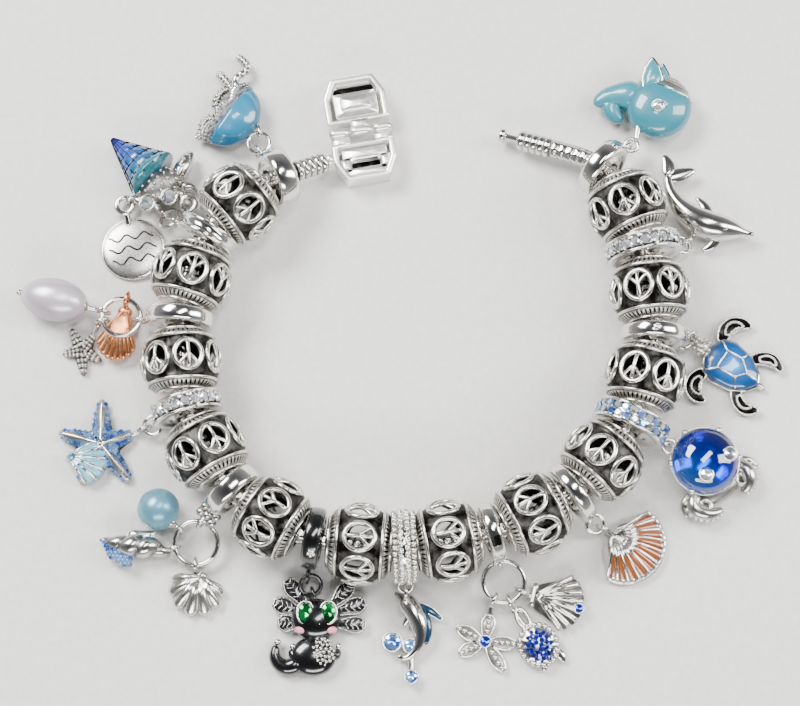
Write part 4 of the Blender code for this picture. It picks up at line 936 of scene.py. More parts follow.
# %% [markdown]
# ## The clasp and the end pin
# The box clasp is two cast halves on a hinge pin. Each half is one closed surface: the outline shrinks
# inwards row by row, over the rounded rim and down into the recess. The base holds a raised plate with
# a slot that grips the end pin's button, and the lid a polished panel that presses it home.

# %% Clasp values
CLASP_WIDTH, BASE_DEPTH, LID_DEPTH, CLASP_HEIGHT = 10.2, 6.8, 8.4, 3.9
CLASP_CORNER, CLASP_TURN, CLASP_AT = (1.6, 3.2), 10.0, (-6.3, 37.3)
HINGE_RADIUS, HINGE_PIN, FERRULE_RADIUS = 0.8, 0.35, 1.7
LEFT_FERRULE, LEFT_NECK, RIGHT_FERRULE = 5.3, 1.1, 5.4
SHANK_RADIUS, SHANK_LENGTH, BUTTON_RADIUS, BUTTON_LENGTH = 0.5, 2.2, 1.15, 1.0
hinge_height = CLASP_HEIGHT + CLEARANCE / 2
clasp = about_z(CLASP_TURN, (*CLASP_AT, 0))


def box_half(depth, floor, side):
    """One half: bottom, bevelled wall, rim, and a recess down to its floor. Side is which way it
    lies from the hinge."""
    half, back = CLASP_WIDTH / 2, HINGE_RADIUS + CLEARANCE + 0.65
    across, along = CLASP_CORNER
    front = HINGE_RADIUS + CLEARANCE + depth
    corners = [(-half, back), (half, back), (half, front - along), (half - across, front),
               (-half + across, front), (-half, front - along)]
    line = outline([(x, side * y) for x, y in corners], 160, 2)
    top, rim = CLASP_HEIGHT, 1 - 1.9 / CLASP_WIDTH
    rows = [(0, 0), (0.93, 0), (0.98, 0.12), (1, 0.45), (1, top - 0.4), (0.985, top - 0.1), (0.95, top),
            (rim + 0.02, top), (rim, top - 0.08), (rim - 0.01, floor), (0, floor)]
    return cushion(line, rows), side * (front + back) / 2


def slab(x, y, half_x, half_y, low, high):
    """A low plate with rounded edges."""
    corners = np.array([(-1, -1), (1, -1), (1, 1), (-1, 1)]) * (half_x, half_y) + (x, y)
    line = outline(corners, 64)
    return cushion(line, [(0, low), (1, low), (1, high - 0.15), (0.97, high), (0, high)])


def knuckles(*spans):
    """Hinge barrels along the hinge line."""
    return [tube([(x, 0, hinge_height) for x in np.linspace(a, b, 5)],
                 HINGE_RADIUS * np.array([0.9, 1, 1, 1, 0.9]), sides=20) for a, b in spans]


def ribbed(start, end, radius, ribs, depth, cell=0.07, tip=1.0):
    """A round bar whose radius swells once for each coil or thread."""
    start, end = np.asarray(start, float), np.asarray(end, float)
    count = int(np.linalg.norm(end - start) / cell)
    t = np.linspace(0, 1, count)
    swell = np.abs(np.sin(np.pi * ribs * t)) ** 0.6
    size = radius * (1 + (tip - 1) * t) * (1 - depth * (1 - swell))
    shape = tube(start + (end - start) * t[:, None], size, sides=24)
    return shape, np.pad(np.repeat(1 - swell, 24), 24, constant_values=0.2)


# %% Clasp base
inner, half = CLASP_WIDTH / 6, CLASP_WIDTH / 2
base, middle = box_half(BASE_DEPTH, 1.9, -1)
into = -heading(0.0)
to_clasp = np.linalg.inv(clasp)
near, deep = (moved(to_clasp, on_chain(0.0) + into * far)
              for far in (CLEARANCE, CLEARANCE + LEFT_FERRULE))
thread, thread_tone = ribbed(near, deep, FERRULE_RADIUS, 5, 0.2)
collar_end = np.array([-half + 0.5, deep[1] + 0.4, 2.55])
arch = [(2.3 * np.cos(a), middle - 0.1 + 1.3 * np.sin(a), 3.05)
        for a in np.linspace(0.1, np.pi - 0.1, 12)]
foot = (hinge_height - 1.0, hinge_height - 0.1)
layers = [
    (base, BRUSHED, 0.0),
    ([slab(0, middle + 1.35, 3.6, 0.95, 1.8, 3.3), slab(0, middle - 1.75, 3.3, 0.7, 1.8, 3.3),
      slab(-3.2, middle - 0.4, 0.8, 1.2, 1.8, 3.3), slab(3.2, middle - 0.4, 0.8, 1.2, 1.8, 3.3)],
     BRUSHED, 0.0),
    (slab(0, middle - 0.5, 2.3, 0.75, 1.7, 2.0), AGED, 1.0),
    (tube(arch, 0.28, sides=10), BRUSHED, 0.0),
    ([*knuckles((-half + 0.1, -inner - CLEARANCE), (inner + CLEARANCE, half - 0.1)),
      *[slab(side * (inner + 1.75), -1.35, 1.5, 0.7, *foot) for side in (-1, 1)]], BRUSHED, 0.0),
    (tube([(x, 0, hinge_height) for x in np.linspace(-half + 0.05, half - 0.05, 9)],
          HINGE_PIN * np.array([1.3, 1.3, 1, 1, 1, 1, 1, 1.3, 1.3]), sides=14), AGED, 0.2),
    (thread, SILVER, 1.1 * thread_tone),
    (tube([deep, (deep + collar_end) / 2, collar_end], LEFT_NECK, sides=16), BRUSHED, 0.1),
]
piece("clasp_box", layers, ["clasp_base"], matrix=clasp)

# %% Clasp lid
lid, middle = box_half(LID_DEPTH, 2.2, 1)
layers = [
    (lid, BRUSHED, 0.0),
    (slab(0, middle - 0.75, 3.5, 2.1, 2.1, 3.4), BRUSHED, 0.0),
    (slab(0, middle - 0.6, 2.5, 1.15, 3.3, 3.6), BRUSHED, 0.05),
    (slab(0, middle + 2.05, 3.3, 0.5, 2.1, 2.3), AGED, 1.0),
    ([*knuckles((-inner, inner)), slab(0, 1.35, inner - 0.25, 0.7, *foot)], BRUSHED, 0.0),
]
piece("clasp_cover_box", layers, ["clasp_lid"], body="clasp_cover", matrix=clasp)

# %% End pin
ahead = heading(CHAIN_LENGTH)
start = on_chain(CHAIN_LENGTH) + ahead * CLEARANCE
coil_end = start + ahead * RIGHT_FERRULE
shank_end = coil_end + ahead * SHANK_LENGTH
coil, coil_tone = ribbed(start, coil_end, FERRULE_RADIUS, 5, 0.18, tip=0.94)
pin = np.array([-0.4, 0.3, 1.0, 2.0, SHANK_LENGTH])[:, None] * ahead + coil_end
button = np.array([0, 0.08, 0.3, 0.7, 0.92, BUTTON_LENGTH])[:, None] * ahead + shank_end
piece("button_pin", [
    (coil, SILVER, 0.75 * coil_tone),
    (tube(pin, SHANK_RADIUS, sides=14), SILVER, 0.1),
    (tube(button, BUTTON_RADIUS * np.array([0.55, 0.9, 1, 1, 0.9, 0.6]), sides=24), SILVER, 0.0),
], ["end_pin"])

# %% [markdown]
# ## How a charm hangs
# Each charm is drawn in a frame of its own: zero is where its loop is seen, X is its bearing, and Z is
# up. Its loop is put where the ring or bail really holds it, turned to face the wire that passes
# through it, and a short stem joins it to the body, as a caster would leave a sprue there.

# %% Charm frames and their loops
CHARMS = {
    "jellyfish": (-21.7, 37.3, 145), "hermit_crab": (-37.8, 23.8, 123), "white_pearl": (-47.6, 7.9, 168),
    "rose_shell": (-42.9, 9.6, -104), "grey_star": (-47.6, 5.6, -128), "blue_star": (-39.4, -10.8, -158.6),
    "blue_pearl": (-33.7, -27.5, 134), "conch": (-33.2, -30.4, 178), "clam": (-30.1, -32.4, -106),
    "axolotl": (-12.4, -36.5, -90), "dolphin_stones": (1.4, -36.0, -90), "small_star": (15.3, -36.4, -110),
    "pave_turtle": (16.8, -37.1, -62), "fan_shell": (17.6, -36.2, -14), "orange_shell": (30.8, -26.5, -32),
    "crab": (43.0, -11.3, -54), "turtle": (45.0, 3.8, -33), "silver_dolphin": (45.8, 19.5, 0),
    "whale": (36.1, 37.5, 45),
}


def charm(name, layers, place, wire_way=None, root=(2.5, 0, 1.5), thickness=0.5,
          finish=SILVER, slot="silver"):
    """A charm's own layers with its loop and stem, moved to where the charm lies."""
    x, y, bearing = CHARMS[name]
    matrix = about_z(bearing, (x, y, 0))
    held, hole, foot_way = moved(np.linalg.inv(matrix), place), UP, np.array([1.0, 0.0, 0.0])
    if wire_way is not None:
        turn = np.arctan2(wire_way[1], wire_way[0]) - np.radians(bearing) - np.pi / 2
        turn += np.pi if np.cos(turn) < 0 else 0
        hole = (-np.sin(turn), np.cos(turn), 0)
        foot_way = np.array([np.cos(turn), np.sin(turn), -1]) * np.sqrt(0.5)
    stem = tube(np.linspace(held + EYE_RADIUS * foot_way, root, 8),
                np.linspace(EYE_WIRE + 0.1, thickness, 8), sides=12, up=(0, 1, 0.01))
    layers = [([hoop(held, EYE_RADIUS, EYE_WIRE, hole, 28, 8), stem], finish, 0.1), *layers]
    piece(f"charm_{name}", layers, [name], matrix=matrix)
    return matrix


# %% Shapes that several sea charms share
def split(shape, inside):
    """A shape in two by its faces: those with all their points inside, and the rest."""
    points, faces = shape
    chosen = np.asarray(inside, bool)[faces].all(axis=1)
    parts = []
    for some in (faces[chosen], faces[~chosen]):
        used, again = np.unique(some, return_inverse=True)
        parts.append((points[used], again.reshape(some.shape)))
    return parts


def whorled(rows, whorls, ribs, depth=0.12, flat=1.0, sides=44):
    """A spiral shell: a tapering tube whose radius drops into a groove that winds round as it goes
    along, with fine ribs across. Gives the shape, each point's share along, and its groove."""
    fine = spline(rows, 16)
    far = travelled(fine[:, :3])
    share = (far / far[-1])[:, None]
    angle = bearings(sides)[None, :]
    groove = np.abs(np.sin(np.pi * (whorls * share + angle / TURN))) ** 0.6
    width = fine[:, 3:4] * (1 - depth * (1 - groove) + 0.025 * np.cos(ribs * angle) * groove)
    shape = tube(fine[:, :3], width, flat * width, sides=sides)
    ends = ((1, 1), (0, 0))
    along = np.pad(np.broadcast_to(share, width.shape), ends, mode="edge").ravel()
    return shape, along, np.pad(1 - groove, ends, mode="edge").ravel()


CREST_AT, RIM_SHARE = 0.35, 0.3


def fan_height(share, low, rise):
    """A scallop's crown: a quarter cosine from the crest to the rim, and a dip back to the hinge."""
    outer = np.cos(np.pi / 2 * np.clip((share - CREST_AT) / (1 - CREST_AT), 0, 1))
    dip = np.clip(CREST_AT - share, 0, 1) / CREST_AT
    return low + rise * (RIM_SHARE + (1 - RIM_SHARE) * outer - RIM_SHARE * dip)


def fan(umbo, reach, spread, low, rise, side, ribs, ears=0.8, depth=0.3, lobe=0.06, plump=0.8):
    """A scallop: an outline of shallow lobes, shrunk towards the hinge, domed, and ribbed by angle.
    Side says how much shorter the fan is at its two sides. Gives the shape, how far each point lies
    in a valley, and its share of the way out (zero below)."""
    umbo, half = np.asarray(umbo, float), np.radians(spread) / 2
    t = np.linspace(-1, 1, ribs * 8 + 1)
    scallop = np.abs(np.sin(np.pi / 2 * ribs * (t + 1)))
    length = reach * (1 - (1 - side) * t ** 2) * (1 - lobe * (1 - scallop))
    arc = umbo + length[:, None] * np.stack([np.cos(half * t), np.sin(half * t)], 1)
    back = umbo + [(-0.3, ears), (-0.3, -ears)]
    stops = [arc[-1], *back, arc[0]]
    edges = [np.linspace(a, b, 7)[1:-1] for a, b in zip(stops, stops[1:])]
    line = np.concatenate([arc, edges[0], back[:1], edges[1], back[1:], edges[2]])
    centre = umbo + (0.1, 0)
    share = np.linspace(1, 0, 14)
    rows = np.concatenate([[(0, low), (0.95, low), (1, low + 0.12)],
                           np.stack([share, fan_height(share, low, rise)], 1)])

    def rib(angle):
        inside = np.clip((half - np.abs(angle)) * 20, 0, 1)
        return np.abs(np.sin(np.pi / 2 * ribs * (angle / half + 1))) ** plump * inside

    shape = cushion(line, rows, centre, lambda s, a: depth * s * rib(a))
    angle = np.arctan2(*(line - centre).T[::-1])
    valley = (rows[:, :1] ** 0.5 * (1 - rib(angle))[None, :]).ravel()
    out = rows[:, 0] * (np.arange(len(rows)) > 2)
    return shape, valley, np.repeat(out, len(line))


def fan_ribs(umbo, reach, spread, low, rise, side, count, width=0.2, start=0.12, lift=0.1):
    """Raised ribs of a fan, from near the hinge out to the rim."""
    ribs = []
    s = np.linspace(start, 0.98, 12)
    for t in np.linspace(-1, 1, count):
        angle, far = np.radians(spread) / 2 * t, reach * (1 - (1 - side) * t ** 2) * s
        path = np.stack([umbo[0] + far * np.cos(angle), umbo[1] + far * np.sin(angle),
                         fan_height(s, low, rise) + lift], 1)
        ribs.append(tube(path, width * (0.55 + 0.45 * s), sides=8))
    return together(*ribs)


def star_height(share, low, high):
    """A starfish arm's ridge: steep at the tip, then nearly even up to the middle."""
    return low + (high - low) * (0.4 + 0.6 * (1 - np.asarray(share)) ** 0.8)


def starfish(centre, tips, low, high, waist, arm, soften=3):
    """Arms to the tips, each rounded off at a half width, with valleys between at a distance called
    waist, all rising to the middle. Gives the shape and how far each point lies from a ridge."""
    tips = np.asarray(tips, float)
    tips = tips[np.argsort(np.arctan2(*(tips - centre).T[::-1]))]
    way = unit(tips - centre)
    cross = leftwards(way)
    between = unit(way + np.roll(way, -1, 0)) * waist + centre
    corners = [tips - (way + cross) * arm, tips, tips - (way - cross) * arm, between]
    line = outline(np.stack(corners, 1).reshape(-1, 2), 240, soften)
    share = np.linspace(1, 0, 12)
    rows = np.concatenate([[(0, low), (0.94, low), (1, low + 0.15)],
                           np.stack([share, star_height(share, low, high)], 1)])
    ways = np.arctan2(way[:, 1], way[:, 0])

    def ridge(angle):
        off = np.abs((angle[..., None] - ways + np.pi) % TURN - np.pi).min(axis=-1)
        return np.exp(-(off / 0.22) ** 2)

    shape = cushion(line, rows, centre, lambda s, a: 1.2 * ridge(a) * s * (1 - s) * (high - low))
    angle = np.arctan2(*(line - centre).T[::-1])
    return shape, (rows[:, :1] * (1 - ridge(angle))[None, :]).ravel()


def on_arms(centre, tips, shares, offsets, height):
    """Places on each arm: at a share of its length and an offset to its side."""
    away = np.asarray(tips, float) - centre
    way = unit(away)
    cross = leftwards(way)
    flat = centre + shares[:, None, None] * away + np.asarray(offsets, float)[:, None, None] * cross
    high = np.broadcast_to(np.asarray(height)[:, None, None], flat.shape[:2] + (1,))
    return np.concatenate([flat, high], -1).reshape(-1, 3)


def spiral_places(centre, radii, count, cover=0.9):
    """Even places on a dome by the golden angle, as seeds sit in a sunflower, with normals."""
    number = np.arange(count) + 0.5
    height, turn = 1 - cover * number / count, number * np.pi * (3 - np.sqrt(5))
    level = np.sqrt(1 - height ** 2)
    on_unit = np.stack([level * np.cos(turn), level * np.sin(turn), height], 1)
    return np.asarray(centre) + on_unit * radii, unit(on_unit / radii)


def leaf(points, low, high, edge=0.14, soften=3):
    """A flat fin as a pillow, and the raised wire along its edge."""
    line = outline(points, 72, soften)
    rim = np.column_stack([line, np.full(len(line), low + 0.6 * (high - low))])
    return cushion(line, pillow(low, high, 0.5, 5)), tube(rim, edge, sides=6, closed=True)


def blade(rows, low, high, edge=0.14):
    """A leaf along a few places, each with its half width."""
    fine = spline(rows, 6)
    ahead = np.gradient(fine[:, :2], axis=0)
    cross = unit(leftwards(ahead)) * fine[:, 2:]
    return leaf(np.concatenate([fine[:, :2] + cross, (fine[:, :2] - cross)[::-1]]), low, high, edge)


# %% [markdown]
# ## The charms of the left side
# An enamelled jellyfish, a hermit crab with a disc, a pearl with a rose gold shell and a grey
# starfish, a starfish set with pale blue stones, and three small charms on one big ring.

# %% Jellyfish
u, v = np.linspace(0, np.pi / 2, 14)[:, None], bearings(48)[None, :]
lobes = 1 + 0.03 * np.cos(9 * v) * np.sin(u)
bell = np.stack([6.4 - 4.7 * np.cos(u) + 0 * v, 0.8 + 5.5 * np.sin(u) * np.sin(v) * lobes,
                 2.8 + 2.68 * np.sin(u) * np.cos(v) * lobes], -1)
bell = sheet(np.concatenate([bell, np.broadcast_to((6.4, 0.8, 2.8), (1, 48, 3))]))
frill_line = spline([(6.8, -5.0, 2.6), (7.2, -3.0, 3.2), (6.9, -1.2, 3.4), (7.3, 0.8, 3.5), (6.9, 2.8, 3.4),
                     (7.2, 4.6, 3.1), (6.8, 6.4, 2.6)], 8)
swell = 0.8 + 0.5 * np.abs(np.sin(np.linspace(0, 3 * np.pi, len(frill_line))))
swings = np.array((-1.0, -0.35, 0.35, 1.0))
outwards = np.stack([np.sin(swings), 0 * swings, np.cos(swings)], 1)
stones = (frill_line[1:-1:2, None] + swell[1:-1:2, None, None] * outwards).reshape(-1, 3)
stone_ways = np.tile(outwards, (len(frill_line[1:-1:2]), 1))
twisted = []
for depth, arm in (
        (0.1, [(6.6, -1.5, 2.6), (9.4, -3.4, 2.0), (11.6, -4.1, 1.5), (12.8, -4.4, 1.3)]),
        (0.1, [(6.6, -3.0, 2.8), (9.5, -5.3, 2.2), (9.1, -7.6, 1.7), (10.4, -8.4, 1.3), (12.0, -8.6, 1.0)]),
        (0.3, [(6.6, 2.2, 2.6), (8.0, 4.8, 2.0), (9.0, 6.8, 1.4)]),
        (0.3, [(6.6, 0.8, 2.4), (9.4, 0.6, 1.8), (10.2, -1.8, 1.4), (9.4, -3.1, 1.8)]),
        (0.3, [(7.4, 5.8, 2.2), (9.2, 4.6, 2.0), (8.9, 2.9, 2.2), (7.4, 2.4, 2.2)])):
    line = spline(arm, 20)
    far = np.linspace(0, 1, len(line))
    ends = np.sqrt(np.clip(1.02 - np.clip(8 * far - 7, 0, 1) ** 2, 0, 1))
    twisted.append(tube(line, 0.66 * ends * (1 + depth * np.sin(far * 60)), sides=10))
charm("jellyfish", [
    (bell, "turquoise_enamel", np.clip((bell[0][:, 2] - 2.8) / 5, 0, 1)),
    (tube(frill_line, swell, swell, sides=16), AGED, 0.75),
    (scattered(CUT_STONE, stones, stone_ways, 0.36), "clear_stone", 0.0, True),
    (twisted, SILVER, 0.3),
], *on_ring("jellyfish_ring"), (2.6, 0.1, 2.6), slot="turquoise")

# %% Hermit crab
CONE = [(6.0, -2.0, 3.9, 4.45), (8.3, -1.4, 3.5, 3.35), (10.8, -0.8, 3.1, 2.25), (13.2, -0.2, 2.6, 1.2),
        (15.3, 0.25, 2.2, 0.3)]
CONE_FLAT, SEAM_STAND = 0.85, 1.03
CRAB_BODY, SECOND_LOOP = ((4.2, -1.9, 2.7), (2.6, 3.9, 2.2)), (5.0, 3.0, EYE_HEIGHT)
shell, along, _ = whorled(CONE, 5, 22, 0.1, CONE_FLAT)
core = spline(CONE, 8)
across = unit(np.cross(UP, np.gradient(core[:, :3], axis=0)))
seams = []
for swing in bearings(14):
    out = SEAM_STAND * core[:, 3:] * (np.cos(swing) * across + CONE_FLAT * np.sin(swing) * UP)
    seams.append(tube(core[1:, :3] + out[1:], 0.08, sides=6))
turn = bearings(40)[:, None]
for at in (0.16, 0.34, 0.52, 0.7, 0.86):
    place, side = core[int(at * len(core))], across[int(at * len(core))]
    circle = np.cos(turn) * side + CONE_FLAT * np.sin(turn) * UP
    seams.append(tube(place[:3] + place[3] * SEAM_STAND * circle, 0.1, sides=6, closed=True,
                      up=np.cross(side, UP)))
legs = [limb(rows) for rows in (
    [(3.6, -4.6, 2.4, 1.0), (5.0, -6.8, 2.5, 1.3), (6.2, -8.6, 1.9, 0.9), (6.6, -9.4, 1.4, 0.4)],
    [(2.4, -4.4, 2.0, 0.8), (1.6, -6.0, 1.9, 0.9), (0.2, -6.5, 1.5, 0.5)],
    [(3.0, 0.8, 2.2, 0.9), (4.4, 2.2, 2.2, 0.7), (5.0, 2.3, 2.1, 0.5)],
    [(2.8, -3.2, 2.8, 0.9), (1.4, -4.0, 3.0, 0.8), (0.2, -4.3, 3.0, 0.6)])]
beading = [scattered(GRAIN, [(x, y, z)], UP, size) for x, y, z, size in (
    (4.4, -5.6, 3.6, 0.4), (5.0, -6.6, 3.8, 0.5), (5.8, -7.5, 3.5, 0.45), (6.3, -8.4, 2.8, 0.4))]
studs, stud_normals = spiral_places(*CRAB_BODY, 40)
matrix = charm("hermit_crab", [
    (shell, "sea_enamel", np.clip(1.0 - along, 0, 1)),
    (seams, AGED, 1.0),
    (ball(*CRAB_BODY), AGED, 0.6),
    (scattered(GRAIN, studs, stud_normals, 0.36), SILVER, 0.3),
    ([*legs, *beading], SILVER, 0.25),
    *in_cup((2.3, 1.3, 4.5), 1.1, "clear_stone", depth=2.2),
    *in_cup((1.3, -2.2, 4.5), 1.15, "clear_stone", depth=2.2),
    (hoop((-0.9, -4.3, 3.0), 1.15, 0.5, columns=30), SILVER, 0.1),
    (ball((-0.9, -4.3, 3.1), (0.8, 0.8, 0.5), 8, 14), AGED, 0.8),
    (hoop(SECOND_LOOP, EYE_RADIUS, EYE_WIRE, (1, 0, 0), 28, 8), SILVER, 0.1),
], *on_ring("crab_ring"), (3.0, 0.0, 1.8), 0.8, slot="blue_enamel")

# %% Disc with wave lines
DISC_RADIUS, DISC_LOOP, DISC_WIRE, DISC_BEARING, DISC_TOP, DISC_EDGE = 5.15, 1.3, 0.42, -78, 1.35, 0.45
held = moved(matrix, SECOND_LOOP)
reach = DISC_LOOP + DISC_WIRE + DISC_RADIUS + 0.35
circle = (reach, 0) + DISC_RADIUS * compass(bearings(96))[:, :2]
waves = []
for row in (-1.9, 0.0, 1.9):
    across = np.linspace(-1, 1, 48) * np.sqrt(DISC_RADIUS ** 2 - row ** 2) * 0.74
    x = row + 0.45 * np.sin(np.linspace(-2.5, 2.5, 48) * np.pi)
    fall = (x ** 2 + across ** 2) / DISC_RADIUS ** 2
    height = DISC_EDGE + (DISC_TOP - DISC_EDGE) * np.sqrt(1 - fall) - 0.02
    waves.append(tube(np.stack([reach + x, across, height], 1), 0.16, sides=8))
layers = [
    (cushion(circle, pillow(0.05, DISC_TOP, 0.3, 12)), "satin_silver", -0.2),
    (waves, AGED, 0.95),
    (hoop((reach, 0, 0.62), DISC_RADIUS - 0.28, 0.22, columns=72), SILVER, 0.0),
    ([tube(np.linspace((DISC_LOOP, 0, EYE_HEIGHT), (DISC_LOOP + 2.0, 0, 0.7), 6), 0.5, 0.4),
      hoop((0, 0, EYE_HEIGHT), DISC_LOOP, DISC_WIRE, columns=40)], SILVER, 0.05),
]
disc_place = about_z(DISC_BEARING, (held[0] - DISC_LOOP * 0.8, held[1] - DISC_LOOP * 0.6, 0))
piece("wave_disc", layers, ["disc"], matrix=disc_place)

# %% White pearl, rose gold shell and grey starfish
PEARL_RADIUS, PEARL_HEIGHT = 3.4, 3.45
turn = np.linspace(-np.pi / 2, np.pi / 2, 28)
drop = np.stack([7.0 + 5.35 * np.sin(turn), 0 * turn, PEARL_HEIGHT + 0 * turn], 1)
body = tube(drop, PEARL_RADIUS * np.cos(turn) * (1 - 0.05 * np.sin(turn)), sides=48)
cap = tube([(x, 0, PEARL_HEIGHT) for x in (1.4, 1.8, 2.3, 2.7)], [0.5, 0.9, 1.2, 1.1], sides=24)
charm("white_pearl", [
    # The pearl's sides, away from its middle line, are painted darker towards its shadow colour: painted
    # shade.
    (body, "nacre", 0.6 * (body[0][:, 1] / PEARL_RADIUS) ** 2),
    ([cap, ball((12.6, 0, PEARL_HEIGHT), (0.5, 0.55, 0.55), 8, 14)], SILVER, 0.2),
], *on_ring("ring_03", -8), (2.6, 0.1, 3.4), slot="pearl")
ROSE = dict(umbo=(2.2, 0), reach=7.8, spread=66, low=1.45, rise=1.5, side=0.76)
shape, valley, _ = fan(**ROSE, ribs=9, ears=0.9, depth=0.25, lobe=0.04)
charm("rose_shell", [
    (shape, "rose_gold", 0.5 * valley),
    (ball((1.9, 0, 2.1), (0.9, 1.2, 0.8), 10, 18), "rose_gold", 0.3),
], *on_ring("ring_03", -95), (3.0, 0, 2.0), 0.6, finish="rose_gold", slot="rose_gold")
GREY_MIDDLE, GREY_TIPS = (4.6, 0.3), [(7.0, -1.8), (2.8, -3.4), (7.6, 3.2), (4.0, 3.9), (1.2, 0.2)]
STAR_LOW, GREY_TOP = 0.05, 1.3
shape, _ = starfish(GREY_MIDDLE, GREY_TIPS, STAR_LOW, GREY_TOP, 1.7, 0.55)
shares = np.array((0.2, 0.4, 0.6, 0.8))
ridge = star_height(shares, STAR_LOW, GREY_TOP)
bumps = np.concatenate([on_arms(GREY_MIDDLE, GREY_TIPS, shares, side * (0.75 - 0.5 * shares), ridge + 0.02)
                        for side in (-1, 1)])
spine = on_arms(GREY_MIDDLE, GREY_TIPS, shares, 0 * shares, ridge + 0.2)
charm("grey_star", [
    (shape, AGED, 0.75),
    ([scattered(GRAIN, bumps, UP, 0.34), scattered(GRAIN, spine, UP, 0.36)], AGED, 0.25),
], *on_ring("ring_03", 24), (1.9, 0.2, 0.5), 0.45, slot="aged_silver")

# %% Blue starfish
STAR_MIDDLE, STAR_TOP = (7.6, -0.1), 1.9
STAR_TIPS = [(2.2, 0), (5, -7.2), (13.3, -4.6), (5.4, 7.1), (13, 4.4)]
shape, valley = starfish(STAR_MIDDLE, STAR_TIPS, STAR_LOW, STAR_TOP, 2.75, 0.85)
rows = []
for shares, near, far, size in ((np.linspace(0.14, 0.86, 8), 0.72, -0.16, 0.4),
                                (np.linspace(0.3, 0.66, 4), 1.5, -0.75, 0.36)):
    for side in (-1, 1):
        places = on_arms(STAR_MIDDLE, STAR_TIPS, shares, side * (near + far * shares),
                         star_height(shares, STAR_LOW, STAR_TOP) + 0.02)
        rows.append(scattered(CUT_STONE, places, UP, size))
shares = np.linspace(0, 0.97, 10)
ridge = star_height(shares, STAR_LOW, STAR_TOP) + 0.25
spines = [tube(on_arms(STAR_MIDDLE, [tip], shares, 0 * shares, ridge), 0.3 - 0.16 * shares, sides=8)
          for tip in STAR_TIPS]
FAN_AT = about_z(148, (12.9, 0.1, 0))
FAN = dict(umbo=(0, 0), reach=6.0, spread=92, low=0.9, rise=1.9, side=0.82)
small_fan, _, out = fan(**FAN, ribs=5, ears=0.6, depth=0.35, lobe=0.1)
charm("blue_star", [
    (shape, AGED, 0.35 + 0.6 * valley),
    (rows, "sky_stone", 0.0, True),
    (spines, SILVER, 0.0),
    (placed(FAN_AT, small_fan), "pale_enamel", out),
    (placed(FAN_AT, fan_ribs(**FAN, count=6, width=0.24, lift=0.02)), SILVER, 0.0),
    (placed(FAN_AT, ball((0.1, 0, 1.5), (0.7, 0.9, 0.7), 8, 14)), SILVER, 0.1),
], *on_ring("star_ring"), (4.0, 0, 0.7), slot="blue_enamel")

# %% Three charms on the big left ring
charm("blue_pearl", [
    (ball((4.9, 0, 3.3), 3.25, 24, 40), "blue_nacre", 0.2),
    (ball((1.9, 0.0, 3.2), (0.7, 0.9, 0.9), 8, 16), SILVER, 0.2),
], *on_ring("ring_05", -112), (2.6, 0.1, 2.9), slot="blue_pearl")
shell, _, groove = whorled([(2.1, 0, 1.5, 0.5), (3.4, -0.1, 1.7, 1.0), (4.8, -0.5, 1.9, 1.5),
                             (6.6, -0.6, 2.1, 1.85), (8.6, -0.7, 2.1, 1.7), (10.6, -1.0, 2.0, 1.15),
                             (13.0, -1.5, 1.7, 0.3)], 4, 0, 0.22)
fin_body, fin_rim = leaf([(4.6, -3.0), (8.6, -3.0), (9.0, -1.4), (5.0, -1.2)], 1.5, 2.4)
pad = outline([(7.8, 0.2), (12.2, -1.2), (12.0, 0.9), (10.2, 2.4), (8.2, 2.5)], 48, 3)
u, v = np.meshgrid(np.arange(8.0, 12.4, 0.62), np.arange(-1.0, 2.6, 0.56))
grid = np.stack([u + 0.31 * (np.arange(len(u)) % 2)[:, None], v], -1).reshape(-1, 2)
x, y = grid.T
inside = (np.abs(x - 10.0 + 0.5 * (y - 0.8)) < 1.9) & (-0.32 * (x - 8) < y) & (y < 2.3 - 0.5 * (x - 9.4))
stones = np.column_stack([grid, np.full(len(grid), 2.5)])[inside]
charm("conch", [
    (shell, SILVER, 0.2 + 0.75 * groove),
    ([fin_body, fin_rim], SILVER, 0.3),
    (cushion(pad, pillow(0.7, 2.5)), AGED, 0.4),
    (scattered(CUT_STONE, stones, UP, 0.36), "sky_stone", 0.0, True),
], *on_ring("ring_05", -58), (2.8, 0, 1.55))
CLAM = dict(umbo=(1.9, 0), reach=6.1, spread=176, low=0.05, rise=2.3, side=0.6)
shape, valley, _ = fan(**CLAM, ribs=7, ears=0.7, depth=0.5, lobe=0.12, plump=0.45)
charm("clam", [
    (shape, AGED, 0.08 + 1.3 * np.clip(valley - 0.25, 0, 1)),
    (ball((1.6, 0, 1.0), (0.8, 1.1, 0.7), 8, 14), SILVER, 0.2),
], *on_ring("ring_05", 17), (2.8, 0.1, 1.0))

# %% [markdown]
# ## The charms of the lower edge
# A black enamelled axolotl with green stone eyes, a dolphin that leaps over three stones, three small
# charms on the second big ring, and a copper scallop.

# %% Axolotl
gill_bodies, gill_edges = [], []
for root, tip in (((1.8, -2.2), (-1.9, -5.0)), ((3.0, -2.8), (1.5, -6.9)), ((4.8, -2.8), (4.6, -6.2)),
                  ((1.8, 2.2), (-1.3, 4.9)), ((3.0, 2.8), (1.5, 7.1)), ((4.8, 2.8), (5.0, 7.1))):
    root, tip = np.array(root), np.array(tip)
    way = tip - root
    cross = np.array([-way[1], way[0]]) / np.linalg.norm(way)
    body, edge = blade([(*(root + way * s), w) for s, w in ((0, 0.5), (0.35, 0.9), (0.7, 1.25), (1, 0.6))],
                       0.6, 1.5, 0.17)
    gill_bodies.append(body)
    gill_edges.append(edge)
    for s in (0.3, 0.48, 0.66, 0.84):
        middle = root + way * s
        for side in (-1, 1):
            end = middle + way * 0.12 + side * 0.8 * cross
            gill_edges.append(tube(np.linspace((*middle, 1.52), (*end, 1.44), 4), 0.1, sides=6))
